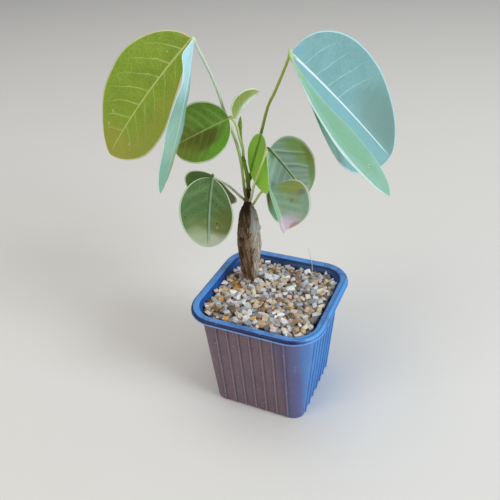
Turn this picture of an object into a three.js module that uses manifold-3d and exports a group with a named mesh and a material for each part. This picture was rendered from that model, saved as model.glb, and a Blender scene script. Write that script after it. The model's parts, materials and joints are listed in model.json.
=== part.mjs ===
// A potted senna with a swollen stem base: a square plastic pot with gravel on top,
// a spindle-shaped caudex, a short green stem and six leaf stalks with two leaflets each.
// Millimetres, +Z up. The origin is the centre of the pot's underside.

import * as THREE from 'three';
import { mergeVertices } from 'three/addons/utils/BufferGeometryUtils.js';
import Module from 'manifold-3d';

const wasm = await Module();
wasm.setup();

// Driving dimensions of the pot
const GAP = 0.3; // clearance between pieces that touch
const POT_HEIGHT = 62;
const RIM_WIDTH = 70;
const RIM_CORNER = 16;
const SKIRT_BOTTOM = 59.5; // underside of the rim band
const LIP_INNER = 61; // opening between the inner edges of the lip
const BODY_TOP = 61.2; // body width just under the rim
const BODY_TOP_CORNER = 12.4;
const BASE_WIDTH = 50;
const BASE_CORNER = 6;
const WALL = 1.1;
const FLOOR = 2.4;
const RIB_PITCH = 6;
const RIBS_PER_SIDE = 7;
const RIB_WIDTH = 1.4;
const RIB_PROUD = 0.6;
const RIB_BOTTOM = 0.6;
const DRAIN_HOLE = 7; // diameter
const DRAIN_OFFSET = 12; // hole centres from the middle, along X and Y
const SLIT_WIDTH = 11; // drainage slit in the foot of each side
const SLIT_HEIGHT = 0.7;

// Driving dimensions of what fills it
const MIX_TOP = 50;
const GRAVEL_TOP = 54.7; // bed that the stones are sunk into
const STONE_PITCH = 4.7;
const STONE_LEVEL = 55.2; // height of the stone centres

// Driving dimensions of the plant
const FOOT = [-15.7, 9.0]; // where the caudex stands, X and Y
const NECK = [-15.2, 9.2];
const NECK_TOP = 107.5;
const ROOT_TIP = 22;
// Caudex and taproot: height, then diameter
const CAUDEX_PROFILE = [
  [22, 1.6], [32, 3], [42, 4.2], [50, 5], [56.5, 5.2], [61.5, 7.4], [66, 9.2], [71, 10.1],
  [76, 11.3], [81.5, 12.3], [86.5, 12], [91, 11], [96, 10.2], [100, 8.6], [102.5, 6.6],
  [105, 4.2], [107.5, 2.9],
];
const BLADE = 0.7; // leaflet thickness
const MIDRIB = 0.45; // how far the midrib stands out below
const STALKLET = 1.4; // from the end of the leaf stalk to most leaflets' bases

const STEM_PATH = [[-15.2, 9.2, 108], [-14.5, 9.5, 113], [-14.6, 9, 121], [-15.4, 7.4, 129.5]];
const STEM_RADIUS = 1.15;

// Each leaf stalk: its radius and the points that its middle line runs through
const STALKS = {
  leaf_1_stalk: [0.6, [
    [-14.9, 7.6, 107.9], [-15.1, 6.4, 113.1], [-15, 5.3, 120.1], [-15.4, 4.1, 131.8],
    [-16.8, 2.9, 141], [-19.4, -0.5, 154.5], [-20.1, -6.4, 169.1], [-17.8, -25.2, 191.2]]],
  leaf_2_stalk: [0.65, [
    [-14.1, 10.3, 118], [-13.8, 12.3, 121.9], [-12.4, 17.2, 131.5], [-10.9, 20.1, 140],
    [-8, 22.6, 152], [-5.1, 23.9, 158.2], [2.1, 25.1, 175]]],
  leaf_3_stalk: [0.55, [
    [-15.4, 7.4, 129.5], [-14.3, 5.2, 135.5], [-13.7, 1.1, 143], [-13.5, -2.2, 150.7],
    [-14.4, -3.7, 153.8]]],
  leaf_4_stalk: [0.55, [
    [-16.2, 9.4, 106.8], [-17.3, 7.6, 108.9], [-22.1, 2.6, 117.3], [-28.2, -0.3, 122.2]]],
  leaf_5_stalk: [0.55, [
    [-13.9, 8.7, 107.6], [-12.2, 7.2, 110], [-8.1, 2, 119.6], [-3.1, -2.3, 129.8],
    [-1.5, 0, 135.6], [-1.9, 3.8, 138]]],
  leaf_6_stalk: [0.55, [
    [-14.4, 9.8, 103.8], [-12.8, 9.6, 104.9], [-4.2, 1.2, 117], [-1.5, 3.5, 119.5]]],
};

// Where the two leaflets of each leaf meet
const NODES = {
  leaf_1: [-17.8, -25.2, 191.2],
  leaf_2: [2.1, 25.1, 175],
  leaf_3: [-14.4, -3.7, 153.8],
  leaf_4: [-28.5, -0.4, 122.4],
  leaf_5: [-2.5, 5.2, 137.2],
  leaf_6: [-1.5, 3.9, 119.4],
};

// Leaflets. Angles in degrees: heading round Z from +X, droop below the horizontal, roll
// about the midrib, out the way that the stalklet leaves the node, fold of each half up
// from flat, twist from base to tip. half is half the width, peak and blunt shape the
// outline, wide widens one half, lean sets the halves' widest points apart, arch and
// sweep bend the midrib, curl lifts the margins, reach is a longer stalklet, and over
// puts the blade's underside, with its midrib, on the normal's side.
const LEAFLETS = {
  leaf_1_leaflet_left: {
    node: 'leaf_1', out: 150, heading: 184.5, droop: 48, roll: 66, length: 68, half: 20,
    fold: 10, arch: 0.04, sweep: -0.03, peak: 1.03, blunt: 0.72, lean: 0.15, twist: 13 },
  leaf_1_leaflet_right: {
    node: 'leaf_1', out: 290, heading: 242.5, droop: 68, roll: 137, length: 60, half: 20,
    curl: -0.05, arch: 0.05, blunt: 0.65, twist: -6, over: true },
  leaf_2_leaflet_back: {
    node: 'leaf_2', out: 100, heading: 53, droop: 45.5, roll: 101, length: 91.5, half: 24.5,
    fold: -11, curl: -0.18, arch: 0.05, sweep: -0.05, peak: 1.02, blunt: 0.62, wide: 1.12,
    lean: 0.3, twist: -14 },
  leaf_2_leaflet_front: {
    node: 'leaf_2', out: 290, heading: 349.5, droop: 48, roll: -160, length: 77, half: 22,
    fold: -4, curl: -0.07, arch: 0.11, peak: 1.11, blunt: 0.84, lean: -0.24, twist: -9 },
  leaf_3_leaflet_left: {
    node: 'leaf_3', out: 205, heading: 178, droop: 29, roll: 69, length: 35, half: 13.4,
    fold: 8, curl: 0.03, arch: 0.04, peak: 0.88, blunt: 0.46, wide: 1.07, lean: -0.1,
    twist: -6 },
  leaf_3_leaflet_right: {
    node: 'leaf_3', out: 25, heading: 35, droop: -43, roll: -142, length: 15.2, half: 8.3,
    fold: -15, curl: -0.13, arch: -0.04, sweep: 0.03, peak: 0.94, blunt: 0.53, lean: -0.05,
    twist: 5 },
  leaf_4_leaflet_front: {
    node: 'leaf_4', out: 270, heading: 254.5, droop: 79, roll: 33, length: 36, half: 13.8,
    fold: 11, curl: 0.06, arch: 0.05, sweep: -0.04, peak: 0.93, blunt: 0.52, wide: 0.97,
    lean: 0.09, twist: 6 },
  leaf_4_leaflet_back: {
    node: 'leaf_4', out: 110, heading: 130, droop: 52, roll: -37, length: 32, half: 14.3,
    curl: -0.04, arch: 0.08, peak: 1.04, blunt: 0.59, wide: 1.03, lean: -0.04, twist: 18,
    over: true },
  leaf_5_leaflet_left: {
    node: 'leaf_5', out: 291, reach: 3.1, heading: 161, droop: 59, roll: -121, length: 18,
    half: 15.2, fold: 5, curl: -0.05, arch: 0.05, peak: 0.94, blunt: 0.42, wide: 1.2,
    lean: -0.03, twist: 18 },
  leaf_5_leaflet_right: {
    node: 'leaf_5', out: 25, heading: 76.5, droop: 50, roll: -100.5, length: 48.5, half: 14.1,
    fold: 2, arch: 0.08, peak: 0.92, blunt: 0.44, wide: 1.13, lean: -0.08, twist: -12 },
  leaf_6_leaflet_front: {
    node: 'leaf_6', out: 305, reach: 2, heading: 347, droop: 66.5, roll: -12, length: 22.4,
    half: 12.8, fold: 34.5, curl: 0.34, arch: 0.08, peak: 0.75, blunt: 0.47, wide: 1.05,
    lean: -0.28, twist: -3 },
  leaf_6_leaflet_back: {
    node: 'leaf_6', out: 140, heading: 70, droop: 57.5, roll: 122, length: 31.6, half: 9.2,
    fold: 5, arch: 0.115, sweep: -0.075, peak: 0.98, blunt: 0.54, twist: 10 },
};

// Young folded leaf: middle line, then its half width and half thickness along it
const YOUNG_PATH = [
  [-15.6, 7.4, 130.4], [-14.9, 7.1, 134.7], [-15.1, 5.7, 140.2], [-15.2, 5, 144.4],
  [-14.9, 4.8, 148], [-14.4, 4.9, 151.9]];
const YOUNG_WIDTH = [0.4, 0.4, 0.4, 0.9, 1.1, 0.35];
const YOUNG_DEPTH = [0.4, 0.4, 0.4, 0.5, 0.55, 0.35];

const rad = THREE.MathUtils.degToRad;
const vec = (p) => new THREE.Vector3(p[0], p[1], p[2]);

// Seeded random numbers between 0 and 1, so the gravel lies alike each time
function seeded(seed) {
  let state = seed >>> 0;
  return () => {
    state = (state + 0x6d2b79f5) >>> 0;
    let t = state;
    t = Math.imul(t ^ (t >>> 15), t | 1);
    t ^= t + Math.imul(t ^ (t >>> 7), t | 61);
    return ((t ^ (t >>> 14)) >>> 0) / 4294967296;
  };
}

// A closed solid from points and triangle indices
function solid(points, triangles) {
  const geometry = new THREE.BufferGeometry();
  const flat = [];
  for (const p of points) flat.push(p.x, p.y, p.z);
  geometry.setAttribute('position', new THREE.Float32BufferAttribute(flat, 3));
  geometry.setIndex(triangles.flat());
  return fromGeometry(geometry);
}

// A solid from a closed mesh, its corners joined by place
function fromGeometry(source) {
  const plain = source.clone();
  plain.deleteAttribute('normal');
  plain.deleteAttribute('uv');
  const geometry = mergeVertices(plain, 1e-5);
  const position = geometry.getAttribute('position');
  return new wasm.Manifold(new wasm.Mesh({
    numProp: 3,
    vertProperties: Float32Array.from(position.array),
    triVerts: Uint32Array.from(geometry.getIndex().array),
  }));
}

// Skin over a stack of rings with equal point counts, with both ends closed
function loft(rings) {
  const points = rings.flat();
  const count = rings[0].length;
  const triangles = [];
  for (let i = 0; i + 1 < rings.length; i += 1) {
    for (let j = 0; j < count; j += 1) {
      const a = i * count + j;
      const b = i * count + ((j + 1) % count);
      triangles.push([a, b, b + count], [a, b + count, a + count]);
    }
  }
  const last = (rings.length - 1) * count;
  const middle = (ring) => ring.reduce((sum, p) => sum.add(p), new THREE.Vector3())
    .divideScalar(ring.length);
  const bottom = points.push(middle(rings[0])) - 1;
  const top = points.push(middle(rings[rings.length - 1])) - 1;
  for (let j = 0; j < count; j += 1) {
    const next = (j + 1) % count;
    triangles.push([bottom, next, j], [top, last + j, last + next]);
  }
  return solid(points, triangles);
}

// Square ring with round corners, anticlockwise from above
function squareRing(width, corner, z, steps = 5) {
  const ring = [];
  const reach = width / 2 - corner;
  for (let quarter = 0; quarter < 4; quarter += 1) {
    const start = quarter * Math.PI / 2;
    const cx = reach * Math.sign(Math.cos(start + Math.PI / 4));
    const cy = reach * Math.sign(Math.sin(start + Math.PI / 4));
    for (let k = 0; k <= steps; k += 1) {
      const angle = start + (k / steps) * (Math.PI / 2);
      ring.push(new THREE.Vector3(
        cx + corner * Math.cos(angle), cy + corner * Math.sin(angle), z));
    }
  }
  return ring;
}

// A box centred at x, y, z
function box(width, depth, height, x, y, z) {
  const geometry = new THREE.BoxGeometry(width, depth, height);
  geometry.translate(x, y, z);
  return fromGeometry(geometry);
}

// The largest piece of a cut body, without loose scraps
function biggest(body) {
  const pieces = body.decompose();
  return pieces.reduce((best, piece) => (piece.volume() > best.volume() ? piece : best));
}

// A round tube along a smooth line through the points; radius may vary along it, and
// longer draws both ends out
function tube(points, radius, sides = 6, steps = 18, longer = 0) {
  const curve = new THREE.CatmullRomCurve3(points.map(vec), false, 'centripetal');
  const frames = curve.computeFrenetFrames(steps, false);
  const rings = [];
  for (let i = 0; i <= steps; i += 1) {
    const centre = curve.getPointAt(i / steps);
    if (i === 0) centre.addScaledVector(frames.tangents[0], -longer);
    if (i === steps) centre.addScaledVector(frames.tangents[steps], longer);
    const r = typeof radius === 'function' ? radius(i / steps) : radius;
    const ring = [];
    for (let j = 0; j < sides; j += 1) {
      const angle = (j / sides) * Math.PI * 2;
      ring.push(centre.clone()
        .addScaledVector(frames.normals[i], r * Math.cos(angle))
        .addScaledVector(frames.binormals[i], r * Math.sin(angle)));
    }
    rings.push(ring);
  }
  return loft(rings);
}

// Outer width and corner radius of the tapered body at height z, less an inset
function bodyAt(z, inset) {
  const share = z / SKIRT_BOTTOM;
  const width = BASE_WIDTH + (BODY_TOP - BASE_WIDTH) * share;
  const corner = BASE_CORNER + (BODY_TOP_CORNER - BASE_CORNER) * share;
  return [width - 2 * inset, Math.max(corner - inset, 1)];
}

// Ring of the body's outline at height z, inset all round
function bodyRing(z, inset) {
  const [width, corner] = bodyAt(z, inset);
  return squareRing(width, corner, z);
}

// One rib up a side, narrower at its crest, turned to its side by quarter turns
function rib(offset, quarter) {
  const top = SKIRT_BOTTOM + 0.5;
  const section = (z) => {
    const face = bodyAt(z, 0)[0] / 2;
    return [[-RIB_WIDTH / 2, -0.4], [RIB_WIDTH / 2, -0.4], [RIB_WIDTH / 4, RIB_PROUD],
      [-RIB_WIDTH / 4, RIB_PROUD]].map(([across, away]) => new THREE.Vector3(
      offset + across, -face - away, z)
      .applyAxisAngle(new THREE.Vector3(0, 0, 1), quarter * Math.PI / 2));
  };
  const rings = [RIB_BOTTOM, top].map((z) => section(z).reverse());
  return loft(rings);
}

// One skin from the foot up the outside, over the rolled rim and down to the floor,
// with ribs, four drain holes and a shallow slit in the foot of each side
function pot() {
  const inner = LIP_INNER;
  const rings = [
    squareRing(BASE_WIDTH - 1, BASE_CORNER, 0),
    bodyRing(0.6, 0),
    bodyRing(SKIRT_BOTTOM, 0),
    squareRing(RIM_WIDTH - 0.6, RIM_CORNER, SKIRT_BOTTOM),
    squareRing(RIM_WIDTH, RIM_CORNER, SKIRT_BOTTOM + 0.2),
    squareRing(RIM_WIDTH, RIM_CORNER, SKIRT_BOTTOM + 0.6),
    squareRing(RIM_WIDTH - 1.2, RIM_CORNER - 0.5, SKIRT_BOTTOM + 1.0),
    squareRing(RIM_WIDTH - 1.2, RIM_CORNER - 0.5, SKIRT_BOTTOM + 1.3),
    squareRing(RIM_WIDTH - 0.7, RIM_CORNER - 0.3, POT_HEIGHT - 0.8),
    squareRing(RIM_WIDTH - 1.2, RIM_CORNER - 0.4, POT_HEIGHT - 0.3),
    squareRing(RIM_WIDTH - 2.6, RIM_CORNER - 0.9, POT_HEIGHT),
    squareRing(inner + 1.8, RIM_CORNER - 3.6, POT_HEIGHT),
    squareRing(inner + 0.5, RIM_CORNER - 4.2, POT_HEIGHT - 0.3),
    squareRing(inner, RIM_CORNER - 4.5, POT_HEIGHT - 1),
    squareRing(inner - 0.2, RIM_CORNER - 4.6, SKIRT_BOTTOM + 0.8),
    bodyRing(SKIRT_BOTTOM - 0.5, WALL),
    bodyRing(FLOOR, WALL),
  ];
  let shell = loft(rings);
  for (let quarter = 0; quarter < 4; quarter += 1) {
    for (let k = 0; k < RIBS_PER_SIDE; k += 1) {
      shell = shell.add(rib((k - (RIBS_PER_SIDE - 1) / 2) * RIB_PITCH, quarter));
    }
  }
  for (const x of [-DRAIN_OFFSET, DRAIN_OFFSET]) {
    for (const y of [-DRAIN_OFFSET, DRAIN_OFFSET]) {
      const hole = new THREE.CylinderGeometry(DRAIN_HOLE / 2, DRAIN_HOLE / 2, 3 * FLOOR, 20);
      hole.rotateX(Math.PI / 2);
      hole.translate(x, y, 0);
      shell = shell.subtract(fromGeometry(hole));
    }
  }
  const reach = BASE_WIDTH / 2;
  for (const side of [-1, 1]) {
    shell = shell.subtract(box(SLIT_WIDTH, 3, 2 * SLIT_HEIGHT, 0, side * reach, 0));
    shell = shell.subtract(box(3, SLIT_WIDTH, 2 * SLIT_HEIGHT, side * reach, 0, 0));
  }
  return shell;
}

// The room inside the pot walls between two heights, less the clearance
function room(low, high) {
  return loft([bodyRing(low, WALL + GAP), bodyRing(high, WALL + GAP)]);
}

// The mix below the gravel, with a plain hole for the root
function pottingMix() {
  return room(FLOOR + GAP, MIX_TOP).subtract(caudex(GAP + 0.1, false));
}

// An angular stone: a block, each corner moved in or out, then flattened, turned and
// set down
function stone(random, x, y, z, size) {
  const geometry = new THREE.BoxGeometry(1.35, 1.35, 1.35);
  geometry.deleteAttribute('normal');
  geometry.deleteAttribute('uv');
  const ball = mergeVertices(geometry, 1e-5);
  const position = ball.getAttribute('position');
  for (let i = 0; i < position.count; i += 1) {
    const push = 0.78 + 0.4 * random();
    position.setXYZ(i, position.getX(i) * push, position.getY(i) * push,
      position.getZ(i) * push);
  }
  ball.rotateX(random() * 6.3);
  ball.rotateY(random() * 6.3);
  ball.scale(size * (0.9 + 0.3 * random()), size * (0.75 + 0.3 * random()),
    size * (0.62 + 0.3 * random()));
  ball.rotateX((random() - 0.5) * 0.8);
  ball.rotateZ(random() * 6.3);
  ball.translate(x, y, z);
  return fromGeometry(ball);
}

// A bed with stones sunk into it on a jittered triangular grid
function gravel() {
  const random = seeded(41);
  const stones = [room(MIX_TOP + GAP, GRAVEL_TOP)];
  const half = bodyAt(GRAVEL_TOP, WALL + GAP)[0] / 2;
  const rowPitch = STONE_PITCH * Math.sqrt(3) / 2;
  const rows = Math.ceil(half / rowPitch);
  for (let row = -rows; row <= rows; row += 1) {
    const shift = row % 2 === 0 ? 0 : STONE_PITCH / 2;
    for (let k = -rows; k <= rows; k += 1) {
      const x = k * STONE_PITCH + shift + (random() - 0.5) * 1.5;
      const y = row * rowPitch + (random() - 0.5) * 1.5;
      const size = 1.7 + 0.7 * random();
      const z = STONE_LEVEL + (random() - 0.5) * 0.7;
      const corner = Math.max(Math.abs(x), Math.abs(y)) > half - 4
        && Math.abs(x) + Math.abs(y) > 2 * half - 7;
      const inside = Math.abs(x) < half - 1 && Math.abs(y) < half - 1 && !corner;
      if (inside) stones.push(stone(random, x, y, z, size));
    }
  }
  const bed = wasm.Manifold.union(stones);
  const cleared = bed.intersect(room(MIX_TOP + GAP, 58)).subtract(caudex(GAP, true));
  return biggest(cleared);
}

// Diameter of the caudex at height z
function caudexDiameter(z) {
  for (let i = 0; i + 1 < CAUDEX_PROFILE.length; i += 1) {
    const [z0, d0] = CAUDEX_PROFILE[i];
    const [z1, d1] = CAUDEX_PROFILE[i + 1];
    if (z <= z1) return d0 + (d1 - d0) * THREE.MathUtils.smoothstep(z, z0, z1) * 0.5
      + (d1 - d0) * 0.5 * Math.max((z - z0) / (z1 - z0), 0);
  }
  return CAUDEX_PROFILE[CAUDEX_PROFILE.length - 1][1];
}

// Spindle with fissured bark above the gravel and a thin taproot below it. grow widens
// it, for the clearance round it, and rough turns the bark's ridges on.
function caudex(grow = 0, rough = true) {
  const levels = [22, 32, 42, 50, 54, 56.5, 58.5, 61, 63.5, 66, 68.5, 71, 73.5, 76, 78.5,
    81, 83.5, 86, 88.5, 91, 93.5, 96, 98, 100, 101.5, 103, 105, 107.5];
  const sides = 22;
  const rings = levels.map((z) => {
    const share = THREE.MathUtils.clamp((z - 56) / (NECK_TOP - 56), 0, 1);
    const cx = FOOT[0] + (NECK[0] - FOOT[0]) * share;
    const cy = FOOT[1] + (NECK[1] - FOOT[1]) * share;
    const fade = rough ? THREE.MathUtils.smoothstep(z, 52, 60)
      * (1 - THREE.MathUtils.smoothstep(z, 100, 107)) : 0;
    const ring = [];
    for (let j = 0; j < sides; j += 1) {
      const angle = (j / sides) * Math.PI * 2;
      const ridges = 0.035 * Math.cos(9 * angle + 2.1 * Math.sin(z / 9))
        + 0.025 * Math.cos(5 * angle - z / 6) + 0.012 * Math.sin(z / 1.9 + 3 * angle);
      const r = caudexDiameter(z) / 2 * (1 + fade * ridges) + grow;
      ring.push(new THREE.Vector3(cx + r * Math.cos(angle), cy + r * Math.sin(angle), z));
    }
    return ring;
  });
  if (grow > 0) {
    rings[0].forEach((p) => p.setZ(ROOT_TIP - grow));
    rings[rings.length - 1].forEach((p) => p.setZ(NECK_TOP + grow));
  }
  return loft(rings);
}

// Short green stem on top of the caudex, tapering upwards
function stem(grow = 0) {
  const radius = (t) => STEM_RADIUS * (1 - 0.15 * t) + grow;
  return tube(STEM_PATH, radius, 10, 10, grow);
}

// Middle line, frame and widths of a leaflet
function leafletFrame(spec) {
  const h = rad(spec.heading);
  const d = rad(spec.droop);
  const r = rad(spec.roll);
  const out = rad(spec.out);
  const along = new THREE.Vector3(
    Math.cos(h) * Math.cos(d), Math.sin(h) * Math.cos(d), -Math.sin(d));
  const up = new THREE.Vector3(
    Math.cos(h) * Math.sin(d), Math.sin(h) * Math.sin(d), Math.cos(d));
  const side = new THREE.Vector3(-Math.sin(h), Math.cos(h), 0);
  const normal = up.multiplyScalar(Math.cos(r)).addScaledVector(side, Math.sin(r));
  const lateral = new THREE.Vector3().crossVectors(normal, along);
  const node = vec(NODES[spec.node]);
  const base = node.clone()
    .add(new THREE.Vector3(Math.cos(out), Math.sin(out), 0)
      .multiplyScalar(spec.reach ?? STALKLET));
  const tip = base.clone().addScaledVector(along, spec.length);
  const bend = base.clone().addScaledVector(along, spec.length / 2)
    .addScaledVector(normal, (spec.arch ?? 0) * spec.length)
    .addScaledVector(lateral, (spec.sweep ?? 0) * spec.length);
  return { node, base, tip, bend, normal, lateral };
}

// Half width of the leaflet at t from base to tip, on the side of s
function halfWidth(spec, t, s, margin) {
  const lean = spec.lean ?? 0;
  const peak = (spec.peak ?? 1) * (s > 0 ? 1 + lean : 1 - lean);
  const wave = Math.max(Math.sin(Math.PI * Math.pow(t, peak)), 0);
  return spec.half * Math.pow(wave, spec.blunt) * (s > 0 ? spec.wide ?? 1 : 1) + margin;
}

// Point on the leaflet's middle surface, t along the midrib and s across from -1 to 1:
// the bent midrib, plus the width across it folded up from the midrib and curled
function leafletPoint(spec, frame, t, s, margin) {
  const { base, bend, tip, normal, lateral } = frame;
  const centre = base.clone().multiplyScalar((1 - t) ** 2)
    .addScaledVector(bend, 2 * t * (1 - t)).addScaledVector(tip, t * t);
  const tangent = bend.clone().sub(base).multiplyScalar(2 * (1 - t))
    .addScaledVector(tip.clone().sub(bend), 2 * t).normalize();
  const turn = rad(spec.twist ?? 0) * (t - 0.5);
  const n = normal.clone().multiplyScalar(Math.cos(turn))
    .addScaledVector(lateral, Math.sin(turn));
  n.addScaledVector(tangent, -n.dot(tangent)).normalize();
  const across = new THREE.Vector3().crossVectors(n, tangent);
  const w = halfWidth(spec, t, s, margin);
  const fold = rad(spec.fold ?? 0);
  return centre.addScaledVector(across, w * s * Math.cos(fold))
    .addScaledVector(n, w * (Math.abs(s) * Math.sin(fold) + (spec.curl ?? 0) * s * s));
}

// A leaflet: a thin blade with a raised midrib below and the short stalklet. grow
// thickens it on all sides, for the clearance cut out of its neighbours.
function leaflet(spec, grow = 0) {
  const frame = leafletFrame(spec);
  const margin = 0.3 + grow;
  const rows = spec.half > 18 ? 11 : 9;
  const columns = [-1, -0.7, -0.36, -1, 0, 1, 0.36, 0.7, 1];
  const count = columns.length;
  const point = (t, s) => leafletPoint(spec, frame, THREE.MathUtils.clamp(t, 0, 1), s, margin);
  const upper = [];
  const lower = [];
  for (let i = 0; i <= rows; i += 1) {
    const even = 0.5 - 0.5 * Math.cos(Math.PI * i / rows);
    const t = 0.003 + 0.994 * even;
    for (let j = 0; j < count; j += 1) {
      const beside = Math.min(0.8 / halfWidth(spec, t, 1, margin), 0.3);
      const s = j === 3 || j === 5 ? columns[j] * beside : columns[j];
      const ahead = point(t + 0.01, s).sub(point(t - 0.01, s));
      const sideways = point(t, s + 0.05).sub(point(t, s - 0.05));
      const face = new THREE.Vector3().crossVectors(ahead, sideways).normalize();
      const centre = point(t, s);
      const end = i === 0 ? -grow : i === rows ? grow : 0;
      centre.addScaledVector(point(t + 0.01, 0).sub(point(t - 0.01, 0)).normalize(), end);
      const rib = j === 4 ? MIDRIB * (1 - 0.6 * t) : 0;
      upper.push(centre.clone()
        .addScaledVector(face, BLADE / 2 + grow + (spec.over ? rib : 0)));
      lower.push(centre.clone()
        .addScaledVector(face, -BLADE / 2 - grow - (spec.over ? 0 : rib)));
    }
  }
  const triangles = [];
  const shift = upper.length;
  for (let i = 0; i < rows; i += 1) {
    for (let j = 0; j + 1 < count; j += 1) {
      const a = i * count + j;
      const b = a + 1;
      const c = a + count;
      const d = c + 1;
      triangles.push([a, c, b], [b, c, d]);
      triangles.push([a + shift, b + shift, c + shift], [b + shift, d + shift, c + shift]);
    }
  }
  const edge = [];
  for (let j = 0; j < count; j += 1) edge.push(j);
  for (let i = 1; i <= rows; i += 1) edge.push(i * count + count - 1);
  for (let j = count - 2; j >= 0; j -= 1) edge.push(rows * count + j);
  for (let i = rows - 1; i > 0; i -= 1) edge.push(i * count);
  for (let k = 0; k < edge.length; k += 1) {
    const a = edge[k];
    const b = edge[(k + 1) % edge.length];
    triangles.push([a, b, b + shift], [a, b + shift, a + shift]);
  }
  const blade = solid(upper.concat(lower), triangles);
  const start = frame.node.clone().sub(frame.base).setLength(0.55).add(frame.base);
  if (spec.reach) start.copy(frame.node).lerp(frame.base, 0.85 / spec.reach);
  const inner = point(0.06, 0);
  const path = [start, frame.base, inner].map((p) => [p.x, p.y, p.z]);
  return blade.add(tube(path, 0.45 + grow, 6, 4, grow));
}

// Narrow folded leaf on a thin stalk, beside the third leaf's stalk
function youngLeaf() {
  const curve = new THREE.CatmullRomCurve3(YOUNG_PATH.map(vec), false, 'centripetal');
  const steps = 14;
  const rings = [];
  for (let i = 0; i <= steps; i += 1) {
    const centre = curve.getPoint(i / steps);
    const at = (i / steps) * (YOUNG_WIDTH.length - 1);
    const low = Math.min(Math.floor(at), YOUNG_WIDTH.length - 2);
    const width = THREE.MathUtils.lerp(YOUNG_WIDTH[low], YOUNG_WIDTH[low + 1], at - low);
    const depth = THREE.MathUtils.lerp(YOUNG_DEPTH[low], YOUNG_DEPTH[low + 1], at - low);
    const ring = [];
    for (let j = 0; j < 8; j += 1) {
      const angle = (j / 8) * Math.PI * 2;
      ring.push(new THREE.Vector3(centre.x + width * Math.cos(angle),
        centre.y + depth * Math.sin(angle), centre.z));
    }
    rings.push(ring);
  }
  return loft(rings);
}

function material(colour, roughness) {
  return new THREE.MeshStandardMaterial({ color: colour, roughness, metalness: 0 });
}

const group = new THREE.Group();
group.name = 'potted_senna_caudex';

// Adds a solid to the group as a named mesh
function place(name, body, look) {
  const mesh = body.getMesh();
  const geometry = new THREE.BufferGeometry();
  geometry.setAttribute('position', new THREE.Float32BufferAttribute(mesh.vertProperties, 3));
  geometry.setIndex(Array.from(mesh.triVerts));
  geometry.computeVertexNormals();
  const node = new THREE.Mesh(geometry, look);
  node.name = name;
  group.add(node);
}

place('pot', pot(), material(0x2b5f9e, 0.4));
place('potting_mix', pottingMix(), material(0x5a4636, 0.95));
place('gravel_top_dressing', gravel(), material(0xb9a68c, 0.9));
place('caudex', caudex(), material(0x7d6a52, 0.9));
place('stem', stem(), material(0x5f8a3a, 0.6));

// Leaflets, each clear of the one before it on the same stalk
const caudexRoom = caudex(GAP);
const stemRoom = stem(GAP);
const blades = {};
for (const [name, spec] of Object.entries(LEAFLETS)) {
  let body = leaflet(spec);
  for (const other of Object.keys(blades)) {
    if (LEAFLETS[other].node === spec.node) {
      body = biggest(body.subtract(leaflet(LEAFLETS[other], GAP)));
    }
  }
  blades[name] = body;
}

// Leaf stalks, cut back to stand just clear of the caudex, the stem and the leaflets
const stalks = {};
for (const [name, [radius, path]] of Object.entries(STALKS)) {
  const taper = (t) => radius * (1.15 - 0.25 * t);
  let body = tube(path, taper, 6, path.length * 3);
  body = body.subtract(caudexRoom).subtract(stemRoom);
  for (const spec of Object.values(LEAFLETS)) body = body.subtract(leaflet(spec, GAP));
  stalks[name] = biggest(body);
}

for (const [name, body] of Object.entries(stalks)) place(name, body, material(0x86a95a, 0.6));

let young = youngLeaf().subtract(stemRoom);
const [thirdRadius, thirdPath] = STALKS.leaf_3_stalk;
young = young.subtract(tube(thirdPath, thirdRadius * 1.15 + GAP, 8, 20, GAP));
place('young_leaf', biggest(young), material(0x8fc04a, 0.6));

const TINTS = { leaf_1: 0x9db84f, leaf_2: 0x9ccfb4, leaf_3: 0x6f9a2f, leaf_4: 0x7d9a68,
  leaf_5: 0x7fae55, leaf_6: 0x8aa77d };
for (const [name, body] of Object.entries(blades)) {
  place(name, body, material(TINTS[LEAFLETS[name].node], 0.55));
}

export default group;
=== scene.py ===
"""Potted senna with a swollen stem base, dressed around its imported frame.

Lengths in the formulas are millimetres and are turned to metres when a mesh is made.
"""

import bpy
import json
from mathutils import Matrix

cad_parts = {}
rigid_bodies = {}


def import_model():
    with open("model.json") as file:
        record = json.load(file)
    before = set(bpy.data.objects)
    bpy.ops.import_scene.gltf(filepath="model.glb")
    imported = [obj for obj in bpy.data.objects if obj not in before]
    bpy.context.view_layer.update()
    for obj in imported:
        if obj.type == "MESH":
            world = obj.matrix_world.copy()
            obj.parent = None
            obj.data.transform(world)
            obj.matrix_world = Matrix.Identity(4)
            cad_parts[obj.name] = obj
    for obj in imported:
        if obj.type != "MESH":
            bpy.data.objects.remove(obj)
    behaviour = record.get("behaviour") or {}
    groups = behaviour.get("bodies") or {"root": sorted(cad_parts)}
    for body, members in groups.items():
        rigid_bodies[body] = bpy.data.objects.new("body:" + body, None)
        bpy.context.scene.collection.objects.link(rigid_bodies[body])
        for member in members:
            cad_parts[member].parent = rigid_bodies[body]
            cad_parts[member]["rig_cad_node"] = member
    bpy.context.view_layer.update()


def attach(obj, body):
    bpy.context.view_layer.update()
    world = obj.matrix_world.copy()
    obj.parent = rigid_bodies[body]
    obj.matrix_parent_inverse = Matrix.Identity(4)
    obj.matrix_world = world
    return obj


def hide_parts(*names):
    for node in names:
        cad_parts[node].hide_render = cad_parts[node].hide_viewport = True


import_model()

import json
import math

import bmesh
import bpy
import numpy as np
from mathutils import Matrix

bl_info = {
    "name": "Potted senna caudex",
    "version": (1, 0, 0),
    "blender": (4, 5, 0),
    "location": "3D View > Sidebar > Senna",
    "description": "Makes a potted senna with a swollen stem base around its packed frame",
    "category": "Add Mesh",
}

MM = 0.001
BODY = "root"

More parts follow.
